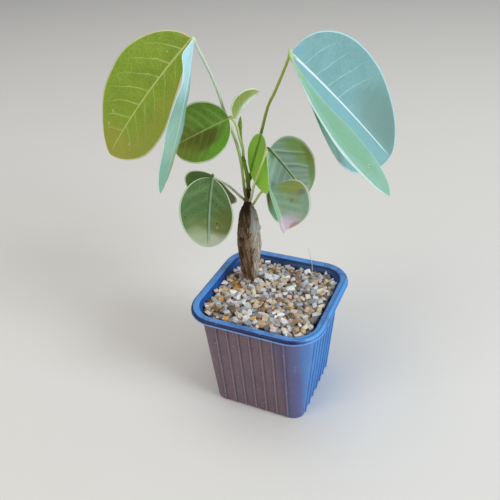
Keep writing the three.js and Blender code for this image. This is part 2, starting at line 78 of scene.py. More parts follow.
# Places taken from the part's source, in millimetres
SKIRT_BOTTOM = 59.5
BASE_WIDTH = 50.0
BASE_CORNER = 6.0
BODY_TOP = 61.2
BODY_TOP_CORNER = 12.4
WALL = 1.1
FLOOR = 2.4
RIM_WIDTH = 70.0
RIM_CORNER = 16.0
RIB_PITCH = 6.0
RIB_WIDTH = 1.4
RIB_PROUD = 0.6
RIB_BOTTOM = 0.6
DRAIN_HOLE = 7.0
DRAIN_OFFSET = 12.0
SLIT_WIDTH = 11.0
SLIT_HEIGHT = 0.7
FOOT = (-15.7, 9.0)
NECK = (-15.2, 9.2)
LEAN_START = 56.0
NECK_TOP = 107.5
CAUDEX_PROFILE = [
    (22, 1.6), (32, 3), (42, 4.2), (50, 5), (56.5, 5.2), (61.5, 7.4), (66, 9.2), (71, 10.1),
    (76, 11.3), (81.5, 12.3), (86.5, 12), (91, 11), (96, 10.2), (100, 8.6), (102.5, 6.6),
    (105, 4.2), (107.5, 2.9),
]
STEM_PATH = [(-15.2, 9.2, 106.5), (-14.5, 9.5, 113), (-14.6, 9, 121), (-15.4, 7.4, 129.5)]
STEM_RADIUS = 1.15
# Each stalk's radius and the points that its line goes through
STALKS = {
    "leaf_1_stalk": (0.6, [
        (-14.9, 7.6, 107.9), (-15.1, 6.4, 113.1), (-15, 5.3, 120.1), (-15.4, 4.1, 131.8),
        (-16.8, 2.9, 141), (-19.4, -0.5, 154.5), (-20.1, -6.4, 169.1), (-17.8, -25.2, 191.2)]),
    "leaf_2_stalk": (0.65, [
        (-14.1, 10.3, 118), (-13.8, 12.3, 121.9), (-12.4, 17.2, 131.5), (-10.9, 20.1, 140),
        (-8, 22.6, 152), (-5.1, 23.9, 158.2), (2.1, 25.1, 175)]),
    "leaf_3_stalk": (0.55, [
        (-15.4, 7.4, 129.5), (-14.3, 5.2, 135.5), (-13.7, 1.1, 143), (-13.5, -2.2, 150.7),
        (-14.4, -3.7, 153.8)]),
    "leaf_4_stalk": (0.55, [
        (-16.2, 9.4, 106.8), (-17.3, 7.6, 108.9), (-22.1, 2.6, 117.3), (-28.2, -0.3, 122.2)]),
    "leaf_5_stalk": (0.55, [
        (-13.9, 8.7, 107.6), (-12.2, 7.2, 110), (-8.1, 2, 119.6), (-3.1, -2.3, 129.8),
        (-1.5, 0, 135.6), (-1.9, 3.8, 138)]),
    "leaf_6_stalk": (0.55, [
        (-14.4, 9.8, 103.8), (-12.8, 9.6, 104.9), (-4.2, 1.2, 117), (-1.5, 3.5, 119.5)]),
}
# Where a leaf's two leaflets meet its stalk, and how far from there a blade starts
NODES = {
    "leaf_1": (-17.8, -25.2, 191.2), "leaf_2": (2.1, 25.1, 175), "leaf_3": (-14.4, -3.7, 153.8),
    "leaf_4": (-28.5, -0.4, 122.4), "leaf_5": (-2.5, 5.2, 137.2), "leaf_6": (-1.5, 3.9, 119.4),
}
STALKLET = 1.4
# Leaflets: angles in degrees, lengths in millimetres, the rest shares, as in the source
LEAFLETS = {
    "leaf_1_leaflet_left": dict(
        node="leaf_1", out=150, heading=184.5, droop=48, roll=66, length=68, half=20,
        fold=10, arch=0.04, sweep=-0.03, peak=1.03, blunt=0.72, lean=0.15, twist=13,
        veins=((0.6, 0.018, 5.6), (0.3, 0.03, 2.4)), spacing=7.9),
    "leaf_1_leaflet_right": dict(
        node="leaf_1", out=290, heading=242.5, droop=68, roll=137, length=60, half=20,
        curl=-0.05, arch=0.05, blunt=0.65, twist=-6, over=True,
        bumps=[(0.09, -1.0, 0.06, 0.45, -1.9), (0.26, -0.95, 0.07, 0.4, 1.2)]),
    "leaf_2_leaflet_back": dict(
        node="leaf_2", out=100, heading=53, droop=45.5, roll=101, length=91.5, half=24.5,
        fold=-11, curl=-0.18, arch=0.05, sweep=-0.05, peak=1.02, blunt=0.62, wide=1.12,
        lean=0.3, twist=-14, knee=1.6, stalklet=0.95,
        veins=((0.42, 0.0, 9.6), (0.35, 0.0, 5.0)), spacing=9.7, wavy=0.5),
    "leaf_2_leaflet_front": dict(
        node="leaf_2", out=290, heading=349.5, droop=48, roll=-160, length=76.8, half=22,
        fold=-4, curl=-0.07, arch=0.11, peak=1.11, blunt=0.84, lean=-0.24, twist=-9,
        knee=1.8, stalklet=1.0, wavy=0.5, tip=0.045),
    "leaf_3_leaflet_left": dict(
        node="leaf_3", out=205, heading=178, droop=29, roll=69, length=35, half=13.4,
        fold=8, curl=0.03, arch=0.04, peak=0.88, blunt=0.46, wide=1.07, lean=-0.1, twist=-6,
        veins=((0.55, 0.02, 3.0), (0.5, 0.03, 5.0)), spacing=5.2),
    "leaf_3_leaflet_right": dict(
        node="leaf_3", out=25, heading=35, droop=-43, roll=-142, length=15.2, half=8.3,
        fold=-15, curl=-0.13, arch=-0.04, sweep=0.03, peak=0.94, blunt=0.53, lean=-0.05,
        twist=5, spacing=3.2, stalklet=0.6, tip=0.04),
    "leaf_4_leaflet_front": dict(
        node="leaf_4", out=270, heading=254.5, droop=79, roll=33, length=36, half=13.8,
        fold=11, curl=0.06, arch=0.05, sweep=-0.04, peak=0.93, blunt=0.52, wide=0.97,
        lean=0.09, twist=6, spacing=6.0),
    "leaf_4_leaflet_back": dict(
        node="leaf_4", out=110, heading=130, droop=52, roll=-37, length=32, half=14.3,
        curl=-0.04, arch=0.08, peak=1.04, blunt=0.59, wide=1.03, lean=-0.04, twist=18,
        over=True, spacing=5.0),
    "leaf_5_leaflet_left": dict(
        node="leaf_5", out=291, reach=3.1, heading=161, droop=59, roll=-121, length=18,
        half=15.2, fold=5, curl=-0.05, arch=0.05, peak=0.94, blunt=0.42, wide=1.2,
        lean=-0.03, twist=18, spacing=3.6, stalklet=0.55),
    "leaf_5_leaflet_right": dict(
        node="leaf_5", out=25, heading=76.5, droop=50, roll=-100.5, length=48.5, half=14.1,
        fold=2, arch=0.08, peak=0.92, blunt=0.44, wide=1.13, lean=-0.08, twist=-12,
        veins=((0.5, 0.0, 0.4), (1.7, 0.0, 0.0)), spacing=6.0, quilt=0.3),
    "leaf_6_leaflet_front": dict(
        node="leaf_6", out=305, reach=2, heading=347, droop=66.5, roll=-12, length=21.7,
        half=12.8, fold=34.5, curl=0.34, arch=0.08, peak=0.75, blunt=0.47, wide=1.05,
        lean=-0.28, twist=-3, spacing=4.2, stalklet=0.6, tip=0.2),
    "leaf_6_leaflet_back": dict(
        node="leaf_6", out=140, heading=70, droop=57.5, roll=122, length=31.6, half=9.2,
        fold=5, arch=0.115, sweep=-0.075, peak=0.98, blunt=0.54, twist=10, spacing=4.6,
        stalklet=0.6),
}


def srgb(code):
    """Linear colour with alpha from a six-digit colour code."""
    parts = [int(code[i:i + 2], 16) / 255 for i in (0, 2, 4)]
    linear = [c / 12.92 if c <= 0.04045 else ((c + 0.055) / 1.055) ** 2.4 for c in parts]
    return (*linear, 1.0)


# Mesh making


def smoothstep(x, low, high):
    """0 below low, 1 above high, and 3 t^2 - 2 t^3 between."""
    t = np.clip((x - low) / (high - low), 0, 1)
    return t * t * (3 - 2 * t)


def lattice_noise(x, y, seed, wrap):
    """Smooth noise from 0 to 1: random values at whole x and y, joined by a smooth step.
    It repeats along x after wrap steps."""
    rows = 256
    table = np.random.default_rng(seed).random((wrap, rows))
    x, y = np.broadcast_arrays(x, y)
    low_x, low_y = np.floor(x).astype(int), np.floor(y).astype(int)
    fx, fy = smoothstep(x - low_x, 0, 1), smoothstep(y - low_y, 0, 1)
    at = lambda i, j: table[(low_x + i) % wrap, (low_y + j) % rows]
    near = at(0, 0) * (1 - fx) + at(1, 0) * fx
    far = at(0, 1) * (1 - fx) + at(1, 1) * fx
    return near * (1 - fy) + far * fy


def unit(v):
    """Vectors divided by their lengths."""
    return v / np.maximum(np.linalg.norm(v, axis=-1, keepdims=True), 1e-12)


def skin(rings, start=None, end=None):
    """Closed surface over rows of rings: a quad joins each two neighbours on two rings, and
    a fan of triangles closes each end to its middle point."""
    rows, count, _ = rings.shape
    j = np.arange(count)
    a = np.arange(rows - 1)[:, None] * count + j
    b = np.arange(rows - 1)[:, None] * count + (j + 1) % count
    quads = np.stack([a, b, b + count, a + count], -1).reshape(-1, 4)
    start = rings[0].mean(0) if start is None else start
    end = rings[-1].mean(0) if end is None else end
    points = np.concatenate([rings.reshape(-1, 3), [start, end]])
    total, last = rows * count, (rows - 1) * count
    low = np.stack([np.full(count, total), (j + 1) % count, j], -1)
    high = np.stack([np.full(count, total + 1), last + j, last + (j + 1) % count], -1)
    return points, quads, np.concatenate([low, high])


def joined(parts):
    """Several (points, quads, triangles) surfaces as one."""
    points, quads, triangles, shift = [], [], [], 0
    for part_points, part_quads, part_triangles in parts:
        points.append(part_points)
        quads.append(part_quads + shift)
        triangles.append(part_triangles + shift)
        shift += len(part_points)
    return np.concatenate(points), np.concatenate(quads), np.concatenate(triangles)


def make_piece(name, surface, finish, replaced=(), values=None, uv=None, sharp=None):
    """Puts a surface given in millimetres into a mesh object that rides on the plant's one
    body. values are named numbers for each point, uv their places on the UV map, and sharp
    is the angle in degrees past which an edge isn't smoothed."""
    points, quads, triangles = surface
    corners = np.concatenate([quads.ravel(), triangles.ravel()]).astype(np.int32)
    totals = np.concatenate([np.full(len(quads), 4), np.full(len(triangles), 3)])
    starts = np.concatenate([[0], np.cumsum(totals)[:-1]]).astype(np.int32)
    mesh = bpy.data.meshes.new(name)
    mesh.vertices.add(len(points))
    mesh.vertices.foreach_set("co", (points * MM).astype(np.float32).ravel())
    mesh.loops.add(len(corners))
    mesh.loops.foreach_set("vertex_index", corners)
    mesh.polygons.add(len(totals))
    mesh.polygons.foreach_set("loop_start", starts)
    mesh.polygons.foreach_set("use_smooth", np.full(len(totals), True))
    mesh.update(calc_edges=True)
    if mesh.validate():
        raise RuntimeError(f"{name}: the mesh had faults")
    if sharp is not None:
        mesh.set_sharp_from_angle(angle=math.radians(sharp))
    for key, numbers in (values or {}).items():
        layer = mesh.attributes.new(key, "FLOAT", "POINT")
        layer.data.foreach_set("value", numbers.astype(np.float32).ravel())
    if uv is not None:
        layer = mesh.uv_layers.new(name="leaf_plane")
        layer.data.foreach_set("uv", uv[corners].astype(np.float32).ravel())
    mesh.materials.append(finish)
    piece = bpy.data.objects.new(name, mesh)
    bpy.context.scene.collection.objects.link(piece)
    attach(piece, BODY)
    if replaced:
        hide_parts(*replaced)
    return piece


def smooth_line(knots, steps):
    """Centripetal Catmull-Rom line through the knots, at even lengths along it: between two
    knots a cubic whose end slopes come from the knots' neighbours, each gap weighted by the
    square root of its length."""
    p = np.array(knots, float)
    p = np.concatenate([[2 * p[0] - p[1]], p, [2 * p[-1] - p[-2]]])
    gap = np.sqrt(np.linalg.norm(np.diff(p, axis=0), axis=1))
    t = np.linspace(0, 1, 24, endpoint=False)[:, None]
    pieces = []
    for i in range(1, len(p) - 2):
        g0, g1, g2 = gap[i - 1], gap[i], gap[i + 1]
        x0, x1, x2, x3 = p[i - 1:i + 3]
        m1 = ((x1 - x0) / g0 - (x2 - x0) / (g0 + g1) + (x2 - x1) / g1) * g1
        m2 = ((x2 - x1) / g1 - (x3 - x1) / (g1 + g2) + (x3 - x2) / g2) * g1
        pieces.append(x1 + t * m1 + t ** 2 * (3 * (x2 - x1) - 2 * m1 - m2)
                      + t ** 3 * (2 * (x1 - x2) + m1 + m2))
    line = np.concatenate([*pieces, p[-2:-1]])
    along = np.concatenate([[0], np.cumsum(np.linalg.norm(np.diff(line, axis=0), axis=1))])
    at = np.linspace(0, along[-1], steps)
    return np.stack([np.interp(at, along, line[:, k]) for k in range(3)], 1), at


def tube(knots, radius, steps, sides, wobble=0.0, seed=1):
    """Round skin carried along a smooth line: at each step a circle square to the line, whose
    radius is a function of the length from the start and the share of the whole. wobble makes
    the radius uneven by smooth noise."""
    line, at = smooth_line(knots, steps)
    tangent = unit(np.gradient(line, axis=0))
    side = unit(np.array([1.0, 0, 0]) - tangent * tangent[:, :1])
    other = np.cross(tangent, side)
    angle = np.linspace(0, 2 * np.pi, sides, endpoint=False)
    r = radius(at, at / at[-1])[:, None]
    uneven = lattice_noise(angle[None, :] * sides / 2 / np.pi * 0.5, at[:, None] / 1.3, seed,
                           max(sides // 2, 2))
    r = r * (1 + wobble * (uneven - 0.5))
    rings = (line[:, None] + r[..., None] * (np.cos(angle)[None, :, None] * side[:, None]
                                             + np.sin(angle)[None, :, None] * other[:, None]))
    return skin(rings)


# Shader making


class Value:
    """A node's output. Arithmetic on it adds Math nodes to its material."""

    def __init__(self, finish, socket):
        self.finish, self.socket = finish, socket

    def math(self, operation, *others):
        """A Math node with this value as its first input."""
        return self.finish.node("Math", {"operation": operation}, [self, *others])

    def __add__(self, other):
        return self.math("ADD", other)

    __radd__ = __add__

    def __mul__(self, other):
        return self.math("MULTIPLY", other)

    __rmul__ = __mul__

    def __sub__(self, other):
        return self.math("SUBTRACT", other)

    def __rsub__(self, other):
        return self.finish.node("Math", {"operation": "SUBTRACT"}, [other, self])

    def __truediv__(self, other):
        return self.math("DIVIDE", other)

    def __pow__(self, other):
        return self.math("POWER", other)

    def __abs__(self):
        return self.math("ABSOLUTE")

    def most(self, other):
        """The greater of two values."""
        return self.math("MAXIMUM", other)

    def least(self, other):
        """The smaller of two values."""
        return self.math("MINIMUM", other)

    def rise(self, low, high):
        """Smooth step from 0 at low to 1 at high; high below low turns it round."""
        return self.finish.node("MapRange", {"interpolation_type": "SMOOTHSTEP"}, {
            "Value": self, "From Min": low, "From Max": high})


class Finish:
    """One material built from nodes."""

    def __init__(self, name):
        self.material = bpy.data.materials.new(name)
        self.material.use_nodes = True
        self.tree = self.material.node_tree
        self.tree.nodes.clear()

    def node(self, kind, settings=None, inputs=(), out=0):
        """Adds a node, its settings first, then values or links for its sockets."""
        made = self.tree.nodes.new("ShaderNode" + kind)
        for key, setting in (settings or {}).items():
            if key == "stops":
                ramp = made.color_ramp
                while len(ramp.elements) < len(setting):
                    ramp.elements.new(1.0)
                for element, (position, colour) in zip(ramp.elements, setting):
                    element.position, element.color = position, colour
            elif key == "interpolation":
                made.color_ramp.interpolation = setting
            else:
                setattr(made, key, setting)
        pairs = inputs.items() if isinstance(inputs, dict) else enumerate(inputs)
        for key, value in pairs:
            if isinstance(value, Value):
                self.tree.links.new(value.socket, made.inputs[key])
            elif value is not None:
                made.inputs[key].default_value = value
        return Value(self, made.outputs[out]) if made.outputs else made

    def place(self):
        """Object coordinates in millimetres."""
        spot = self.node("TexCoord", out="Object")
        return self.node("VectorMath", {"operation": "SCALE"}, {0: spot, "Scale": 1 / MM})

    def axes(self, vector):
        """The x, y and z of a vector."""
        split = self.node("SeparateXYZ", inputs=[vector]).socket.node
        return [Value(self, split.outputs[k]) for k in range(3)]

    def attribute(self, name):
        """A named number that the mesh carries at each point."""
        return self.node("Attribute", {"attribute_name": name}, out="Fac")

    def noise(self, vector, scale, detail=3.0, rough=0.5, twist=0.0):
        """Soft noise about 0.5, of scale bumps to a millimetre."""
        return self.node("TexNoise", None, {
            "Vector": vector, "Scale": scale, "Detail": detail, "Roughness": rough,
            "Distortion": twist})

    def cells(self, vector, scale, feature="F1"):
        """Distance from the nearest of scattered points, or from their cells' edges."""
        return self.node("TexVoronoi", {"feature": feature}, {
            "Vector": vector, "Scale": scale}, out="Distance")

    def stretch(self, vector, scale, turn=(0, 0, 0)):
        """A vector turned by three angles in radians and scaled along each axis."""
        return self.node("Mapping", None, {
            "Vector": vector, "Scale": scale, "Rotation": turn})

    def mix(self, share, first, second, blend="MIX"):
        """Colour between first, at a share of 0, and second, at 1."""
        return self.node("Mix", {"data_type": "RGBA", "blend_type": blend}, {
            0: share, 6: first, 7: second}, out=2)

    def steps(self, value, stops):
        """The colour of the last stop that the value has reached."""
        return self.node("ValToRGB", {"interpolation": "CONSTANT", "stops": stops}, [value])

    def bump(self, height, depth, below=None):
        """Relief whose depth is in millimetres."""
        return self.node("Bump", None, {
            "Strength": 1.0, "Distance": depth * MM, "Height": height, "Normal": below})

    def close(self, colour, roughness, normal=None, fixed=None):
        """Ends the material in a Principled shader and returns it. fixed holds its other
        inputs."""
        inputs = {"Base Color": colour, "Roughness": roughness, "Normal": normal}
        shader = self.node("BsdfPrincipled", None, {**inputs, **(fixed or {})})
        self.node("OutputMaterial", None, {"Surface": shader})
        return self.material


# Pot


def body_at(z, inset=0.0):
    """Width and corner radius of the tapered body at height z: straight lines from foot to
    rim, less an inset all round."""
    share = z / SKIRT_BOTTOM
    width = BASE_WIDTH + (BODY_TOP - BASE_WIDTH) * share - 2 * inset
    corner = BASE_CORNER + (BODY_TOP_CORNER - BASE_CORNER) * share - inset
    return width, np.maximum(corner, 1.0)


def square_rings(width, corner, z, fixed, free, proud):
    """Rings round a square with round corners. A column is a distance from the middle of its
    side: fixed ones are in millimetres, so that ribs stay parallel, and free ones share out
    what is left up to the corner's middle. Past the straight part a column turns round the
    corner by its distance over the radius. proud moves columns outwards."""
    reach = (width / 2 - corner)[:, None]
    corner = corner[:, None]
    limit = reach + corner * np.pi / 4
    first = fixed[-1]
    tail = first + (limit - first) * free[None, :]
    half = np.concatenate([np.broadcast_to(fixed, (len(width), len(fixed))), tail], 1)
    along = np.concatenate([-half[:, :0:-1], half], 1)[:, :-1]
    rise = np.concatenate([proud, np.zeros((len(width), len(free)))], 1)
    rise = np.concatenate([rise[:, :0:-1], rise], 1)[:, :-1]
    turn = np.maximum(np.abs(along) - reach, 0) / corner
    out = reach + corner * np.cos(turn) + rise * np.cos(turn)
    across = np.sign(along) * (np.minimum(np.abs(along), reach)
                               + (corner + rise) * np.sin(turn))
    height = np.broadcast_to(z[:, None], across.shape)
    sides = [(across, -out), (out, across), (-across, out), (-out, -across)]
    return np.concatenate([np.stack([x, y, height], -1) for x, y in sides], 1)


def pot_surface(outer, top, lip):
    """One skin from the foot up the ribbed outside, over the rim's lower ridge, groove and
    rolled lip, and down to the floor: a profile of widths, corner radii and heights, each a
    ring round the square. outer is the rim's width, top its height, lip the opening's width."""
    body = lambda z, inset=0.0: (*body_at(z, inset), z)
    skirt, round_ = SKIRT_BOTTOM, RIM_CORNER
    foot = [
        (BASE_WIDTH - 6, BASE_CORNER - 2, 0), (BASE_WIDTH - 1.3, BASE_CORNER, 0),
        (BASE_WIDTH - 0.6, BASE_CORNER, 0.15), (BASE_WIDTH - 0.15, BASE_CORNER, 0.45)]
    heights = [RIB_BOTTOM, 0.8, 1.1, 1.6, 2.4, 3.6, *np.linspace(5, skirt - 1.2, 28),
               skirt - 0.4, skirt - 0.05]
    outside = foot + [body(z) for z in heights]
    underside = [
        (BODY_TOP + 0.8, BODY_TOP_CORNER + 0.3, skirt), (outer - 1.4, round_, skirt)]
    ridge = [
        (outer - 0.6, round_, skirt + 0.03), (outer - 0.15, round_, skirt + 0.1),
        (outer, round_, skirt + 0.22), (outer, round_, skirt + 0.6),
        (outer - 0.15, round_, skirt + 0.74), (outer - 0.6, round_ - 0.2, skirt + 0.86)]
    rim_groove = [
        (outer - 1.0, round_ - 0.4, skirt + 0.96), (outer - 1.2, round_ - 0.5, skirt + 1.08),
        (outer - 1.2, round_ - 0.5, skirt + 1.28), (outer - 1.1, round_ - 0.5, skirt + 1.42),
        (outer - 0.85, round_ - 0.4, skirt + 1.56), (outer - 0.75, round_ - 0.3, skirt + 1.68)]
    rolled_lip = [
        (outer - 0.7, round_ - 0.3, top - 0.7), (outer - 0.75, round_ - 0.3, top - 0.56),
        (outer - 1.0, round_ - 0.4, top - 0.45), (outer - 1.5, round_ - 0.5, top - 0.2),
        (outer - 2.1, round_ - 0.7, top - 0.06), (outer - 2.9, round_ - 1.0, top),
        (outer - 4.2, round_ - 1.8, top - 0.02), (outer - 5.8, round_ - 2.7, top - 0.02),
        (lip + 1.9, 12.5, top), (lip + 1.1, 12.1, top - 0.12), (lip + 0.5, 11.8, top - 0.4),
        (lip + 0.1, 11.6, top - 0.9), (lip, 11.5, top - 1.6), (lip - 0.2, 11.4, skirt + 0.5)]
    inside = [body(z, WALL) for z in (skirt - 0.6, skirt - 2, *np.linspace(54, 6, 12), 3.6)]
    floor = [(*body_at(FLOOR + 0.4, WALL + 0.25), FLOOR + 0.25),
             (*body_at(FLOOR, WALL + 0.9), FLOOR), (*body_at(FLOOR, WALL + 5), FLOOR)]
    profile = outside + underside + ridge + rim_groove + rolled_lip + inside + floor
    width, corner, z = np.array(profile, float).T
    # Columns over a rib, closer together on its flanks, and two in each gap between ribs
    over_rib = np.array([-0.5, -0.45, -0.38, -0.28, -0.12, 0.12, 0.28, 0.38, 0.45, 0.5])
    over_rib = over_rib * RIB_WIDTH
    fixed = [0.0, *over_rib[over_rib > 0]]
    for k in (1, 2, 3):
        fixed += [k * RIB_PITCH - 2.4, k * RIB_PITCH - 1.2, *(k * RIB_PITCH + over_rib)]
    fixed = np.array(fixed)
    free = np.linspace(0, 1, 16)[1:]
    away = np.abs((fixed + RIB_PITCH / 2) % RIB_PITCH - RIB_PITCH / 2)
    crest = 1 - smoothstep(away, RIB_WIDTH * 0.22, RIB_WIDTH * 0.5)
    up = smoothstep(z, RIB_BOTTOM - 0.15, RIB_BOTTOM + 0.3) * (np.arange(len(z)) < len(outside))
    proud = RIB_PROUD * up[:, None] * crest[None, :]
    return skin(square_rings(width, corner, z, fixed, free, proud))


def cut_away(piece, cutters):
    """Subtracts boxes and cylinders from a piece and keeps the result in its mesh."""
    for cutter in cutters:
        change = piece.modifiers.new("cut", "BOOLEAN")
        change.operation, change.solver, change.object = "DIFFERENCE", "EXACT", cutter
    graph = bpy.context.evaluated_depsgraph_get()
    cut = bpy.data.meshes.new_from_object(piece.evaluated_get(graph))
    piece.modifiers.clear()
    old, piece.data = piece.data, cut
    cut.name = piece.name
    bpy.data.meshes.remove(old)
    for cutter in cutters:
        bpy.data.objects.remove(cutter)


def cutter(surface):
    """A helper object for cut_away, removed by it."""
    points, quads, triangles = surface
    mesh = bpy.data.meshes.new("cutter")
    mesh.from_pydata(points * MM, [], [*quads.tolist(), *triangles.tolist()])
    made = bpy.data.objects.new("cutter", mesh)
    bpy.context.scene.collection.objects.link(made)
    return made


def pillar(x, y, radius, low, high, sides=32):
    """Upright cylinder."""
    angle = np.linspace(0, 2 * np.pi, sides, endpoint=False)
    ring = np.stack([x + radius * np.cos(angle), y + radius * np.sin(angle)], -1)
    return skin(np.stack([np.insert(ring, 2, z, axis=1) for z in (low, high)]))


def block(centre, size):
    """Upright box."""
    corners = np.array([(-1, -1), (1, -1), (1, 1), (-1, 1)]) * np.array(size[:2]) / 2
    ring = corners + np.array(centre[:2])
    return skin(np.stack([np.insert(ring, 2, centre[2] + k * size[2] / 2, axis=1)
                          for k in (-1, 1)]))


def plastic_finish(settings):
    """Blue plastic with a film of dried dust on the broad front, rib crests paler partly by wear
    and partly by a painted highlight, painted shade beside the ribs, under the rim, on the
    front corner, in a crease on the rim's top and on the inner faces, a painted shadow on the
    rim's outer face, painted light on the right face, a rim top paler partly by scuffs and
    partly by painted light, painted highlights on the rim's right edge and its ridge, and a
    rim scuffed in patches, all placed by height and by side."""
    f = Finish("blue_pot_plastic")
    top_height = settings.height / MM
    spot = f.place()
    x, y, z = f.axes(spot)
    blue = (*settings.colour, 1.0)
    deep = (*settings.deep_colour, 1.0)
    dust = (*settings.dust_colour, 1.0)
    cloud = f.noise(spot, 0.07, 4.0, 0.6)
    blotch = f.noise(spot, 0.24, 4.0, 0.6)
    fine = f.noise(spot, 0.9, 5.0, 0.65)
    smear = f.noise(f.stretch(spot, (0.9, 0.9, 0.1)), 1.0, 4.0, 0.65)
    ahead = y * -1
    below_rim = SKIRT_BOTTOM - z
    # Distance from the nearest rib's middle, on all four sides
    broad = abs(y).math("GREATER_THAN", abs(x))
    along = x * broad + y * (1 - broad)
    away = abs((along / RIB_PITCH + 0.5).math("FRACT") - 0.5) * RIB_PITCH
    ribs_end = 3 * RIB_PITCH + RIB_WIDTH / 2
    wall = below_rim.rise(0.0, 0.4) * abs(along).rise(ribs_end + 0.9, ribs_end + 0.3)
    rib = away.rise(0.62, 0.3) * wall
    beside = away.rise(1.5, 0.75) * (1 - rib) * wall
    colour = f.mix(cloud.rise(0.35, 0.7), blue, deep)
    colour = f.mix(smear.rise(0.45, 0.75) * 0.35, colour, srgb("78A8E6"))
    # Dust on the front and left faces, thinner just under the rim and towards the corner
    front = ahead.rise(18.5, 24.0) * (25.5 - x + (blotch - 0.5) * 9).rise(0.0, 9.0)
    left = (x * -1).rise(19.0, 25.0) * 0.8
    film = front.most(left) * (below_rim - 3.7 + blotch.rise(0.5, 0.6) * 5.0).rise(0.0, 1.4)
    film = film * (z + 3.0 + (blotch - 0.5) * 8).rise(0.0, 4.0)
    film = film * (0.8 + fine.rise(0.3, 0.65) * 0.18)
    colour = f.mix(film, colour, dust)
    colour = f.mix(film * smear.rise(0.42, 0.78) * 0.4, colour, srgb("8A7476"))
    colour = f.mix(film * cloud.rise(0.5, 0.72) * 0.35, colour, srgb("55506E"))
    # Painted shade on the front corner and under the rim, rib crests paler partly by wear and
    # partly by a painted highlight, and painted shade beside the ribs
    corner = (x + ahead).rise(39.0, 47.0) * (ahead - x * 0.6).rise(-1.0, 9.0)
    colour = f.mix(corner * 0.8 * below_rim.rise(0.0, 4.0), colour, srgb("5C557C"))
    colour = f.mix(front * film * below_rim.rise(9.0, 0.0) * 0.35, colour, srgb("4C3E48"))
    colour = f.mix(rib * fine.rise(0.2, 0.6) * (0.1 + film * 0.32), colour, srgb("A69A98"))
    colour = f.mix(beside * 0.35, colour, srgb("1E2140"))
    # How far out on the rim, all round and past the front right corner's middle
    rim = z.rise(SKIRT_BOTTOM - 0.15, SKIRT_BOTTOM)
    bend = RIM_WIDTH / 2 - RIM_CORNER
    out = ((abs(x) - bend).most(0.0) ** 2 + (abs(y) - bend).most(0.0) ** 2) ** 0.5 + bend
    round_out = ((x - bend).most(0.0) ** 2 + (ahead - bend).most(0.0) ** 2) ** 0.5
    # The rim's top: paler in patches, partly scuffs and partly painted light, with painted shade in
    # a crease and a painted highlight on the edge round the right corner
    top = rim * z.rise(top_height - 0.7, top_height - 0.4)
    colour = f.mix(top * (0.3 + blotch.rise(0.4, 0.65) * 0.3), colour, srgb("76ACEE"))
    right = x.rise(20.0, 31.0)
    crease = (1 - abs(round_out - 13.9).rise(0.1, 0.4)) * top * (0.15 + right * 0.45)
    colour = f.mix(crease, colour, srgb("1E3A7C"))
    colour = f.mix(round_out.rise(14.0, 14.7) * right * top * 0.75, colour, srgb("62B0F0"))
    # Scuffed patches, a painted shadow as a dark band round the rim's outer face save on the lit
    # right, and a painted highlight as a pale line along the ridge below it
    colour = f.mix(rim * cloud.rise(0.5, 0.6) * blotch.rise(0.6, 0.4) * 0.35, colour,
                   srgb("4F5C8E"))
    band = (below_rim * -1).rise(0.6, 1.0) * out.rise(33.5, 34.1) * x.rise(30.0, 24.0)
    colour = f.mix(band * 0.95, colour, srgb("06154E"))
    ridge = (1 - abs(below_rim + 0.45).rise(0.22, 0.45)) * out.rise(31.0, 32.0) * rim
    colour = f.mix(ridge * (0.3 + fine.rise(0.35, 0.6) * 0.35), colour, srgb("9DB4E0"))
    speck = (1 - f.cells(spot, 0.5).rise(0.07, 0.18)) * f.noise(spot, 0.12, 2.0).rise(0.5, 0.6)
    colour = f.mix(speck * 0.55, colour, srgb("C9D3E2"))
    # Painted light: a brighter blue on the right face, where the light falls
    colour = f.mix(x.rise(24.0, 27.0) * (below_rim - 0.5).rise(0.0, 1.0) * 0.5, colour,
                   srgb("2C86CC"))
    # Painted shade on the inner faces, darker towards the back, told from the outer ones by the
    # middle of the sloping wall
    slope = (BODY_TOP - BASE_WIDTH) / 2 / SKIRT_BOTTOM
    wall_middle = z * slope + (BASE_WIDTH / 2 - 0.5) + rim * 0.6
    inside = (wall_middle - out).rise(0.0, 0.25) * z.rise(50.0, 53.0)
    colour = f.mix(inside * 0.88, colour, f.mix(y.rise(12.0, 28.0), srgb("0C4A9C"),
                                                 srgb("0A3464")))
    grime = inside * (below_rim + 0.5).rise(0.0, 3.0) * blotch.rise(0.45, 0.66)
    colour = f.mix(grime * (0.15 + y.rise(12.0, 28.0) * 0.2), colour, srgb("7FA0B0"))
    rough = 0.32 + film * 0.3 + fine.rise(0.3, 0.8) * 0.16
    scratches = f.noise(f.stretch(spot, (3.0, 3.0, 0.3)), 1.0, 4.0, 0.7)
    normal = f.bump(fine, 0.03, f.bump(scratches, 0.02))
    return f.close(colour, rough, normal, {"Specular IOR Level": 0.5})


def soil_finish():
    """Dark crumbly potting mix with pale grit."""
    f = Finish("potting_mix_crumb")
    spot = f.place()
    crumb = f.cells(spot, 0.7)
    fine = f.noise(spot, 2.2, 5.0, 0.7)
    colour = f.mix(fine, srgb("2E2119"), srgb("6B4D36"))
    colour = f.mix(crumb.rise(0.5, 0.9) * 0.6, colour, srgb("150F0B"))
    grit = 1 - f.cells(spot, 0.35).rise(0.1, 0.2)
    colour = f.mix(grit * 0.7, colour, srgb("A89A84"))
    return f.close(colour, 0.9 + fine * 0.1, f.bump(crumb + fine * 0.5, 0.5))


# Gravel

STONE_KINDS = 16
# How often each kind of stone is drawn
KIND_SHARES = np.array([10, 13, 14, 10, 9, 12, 5, 11, 5, 11, 14, 7, 12, 5, 12, 3])
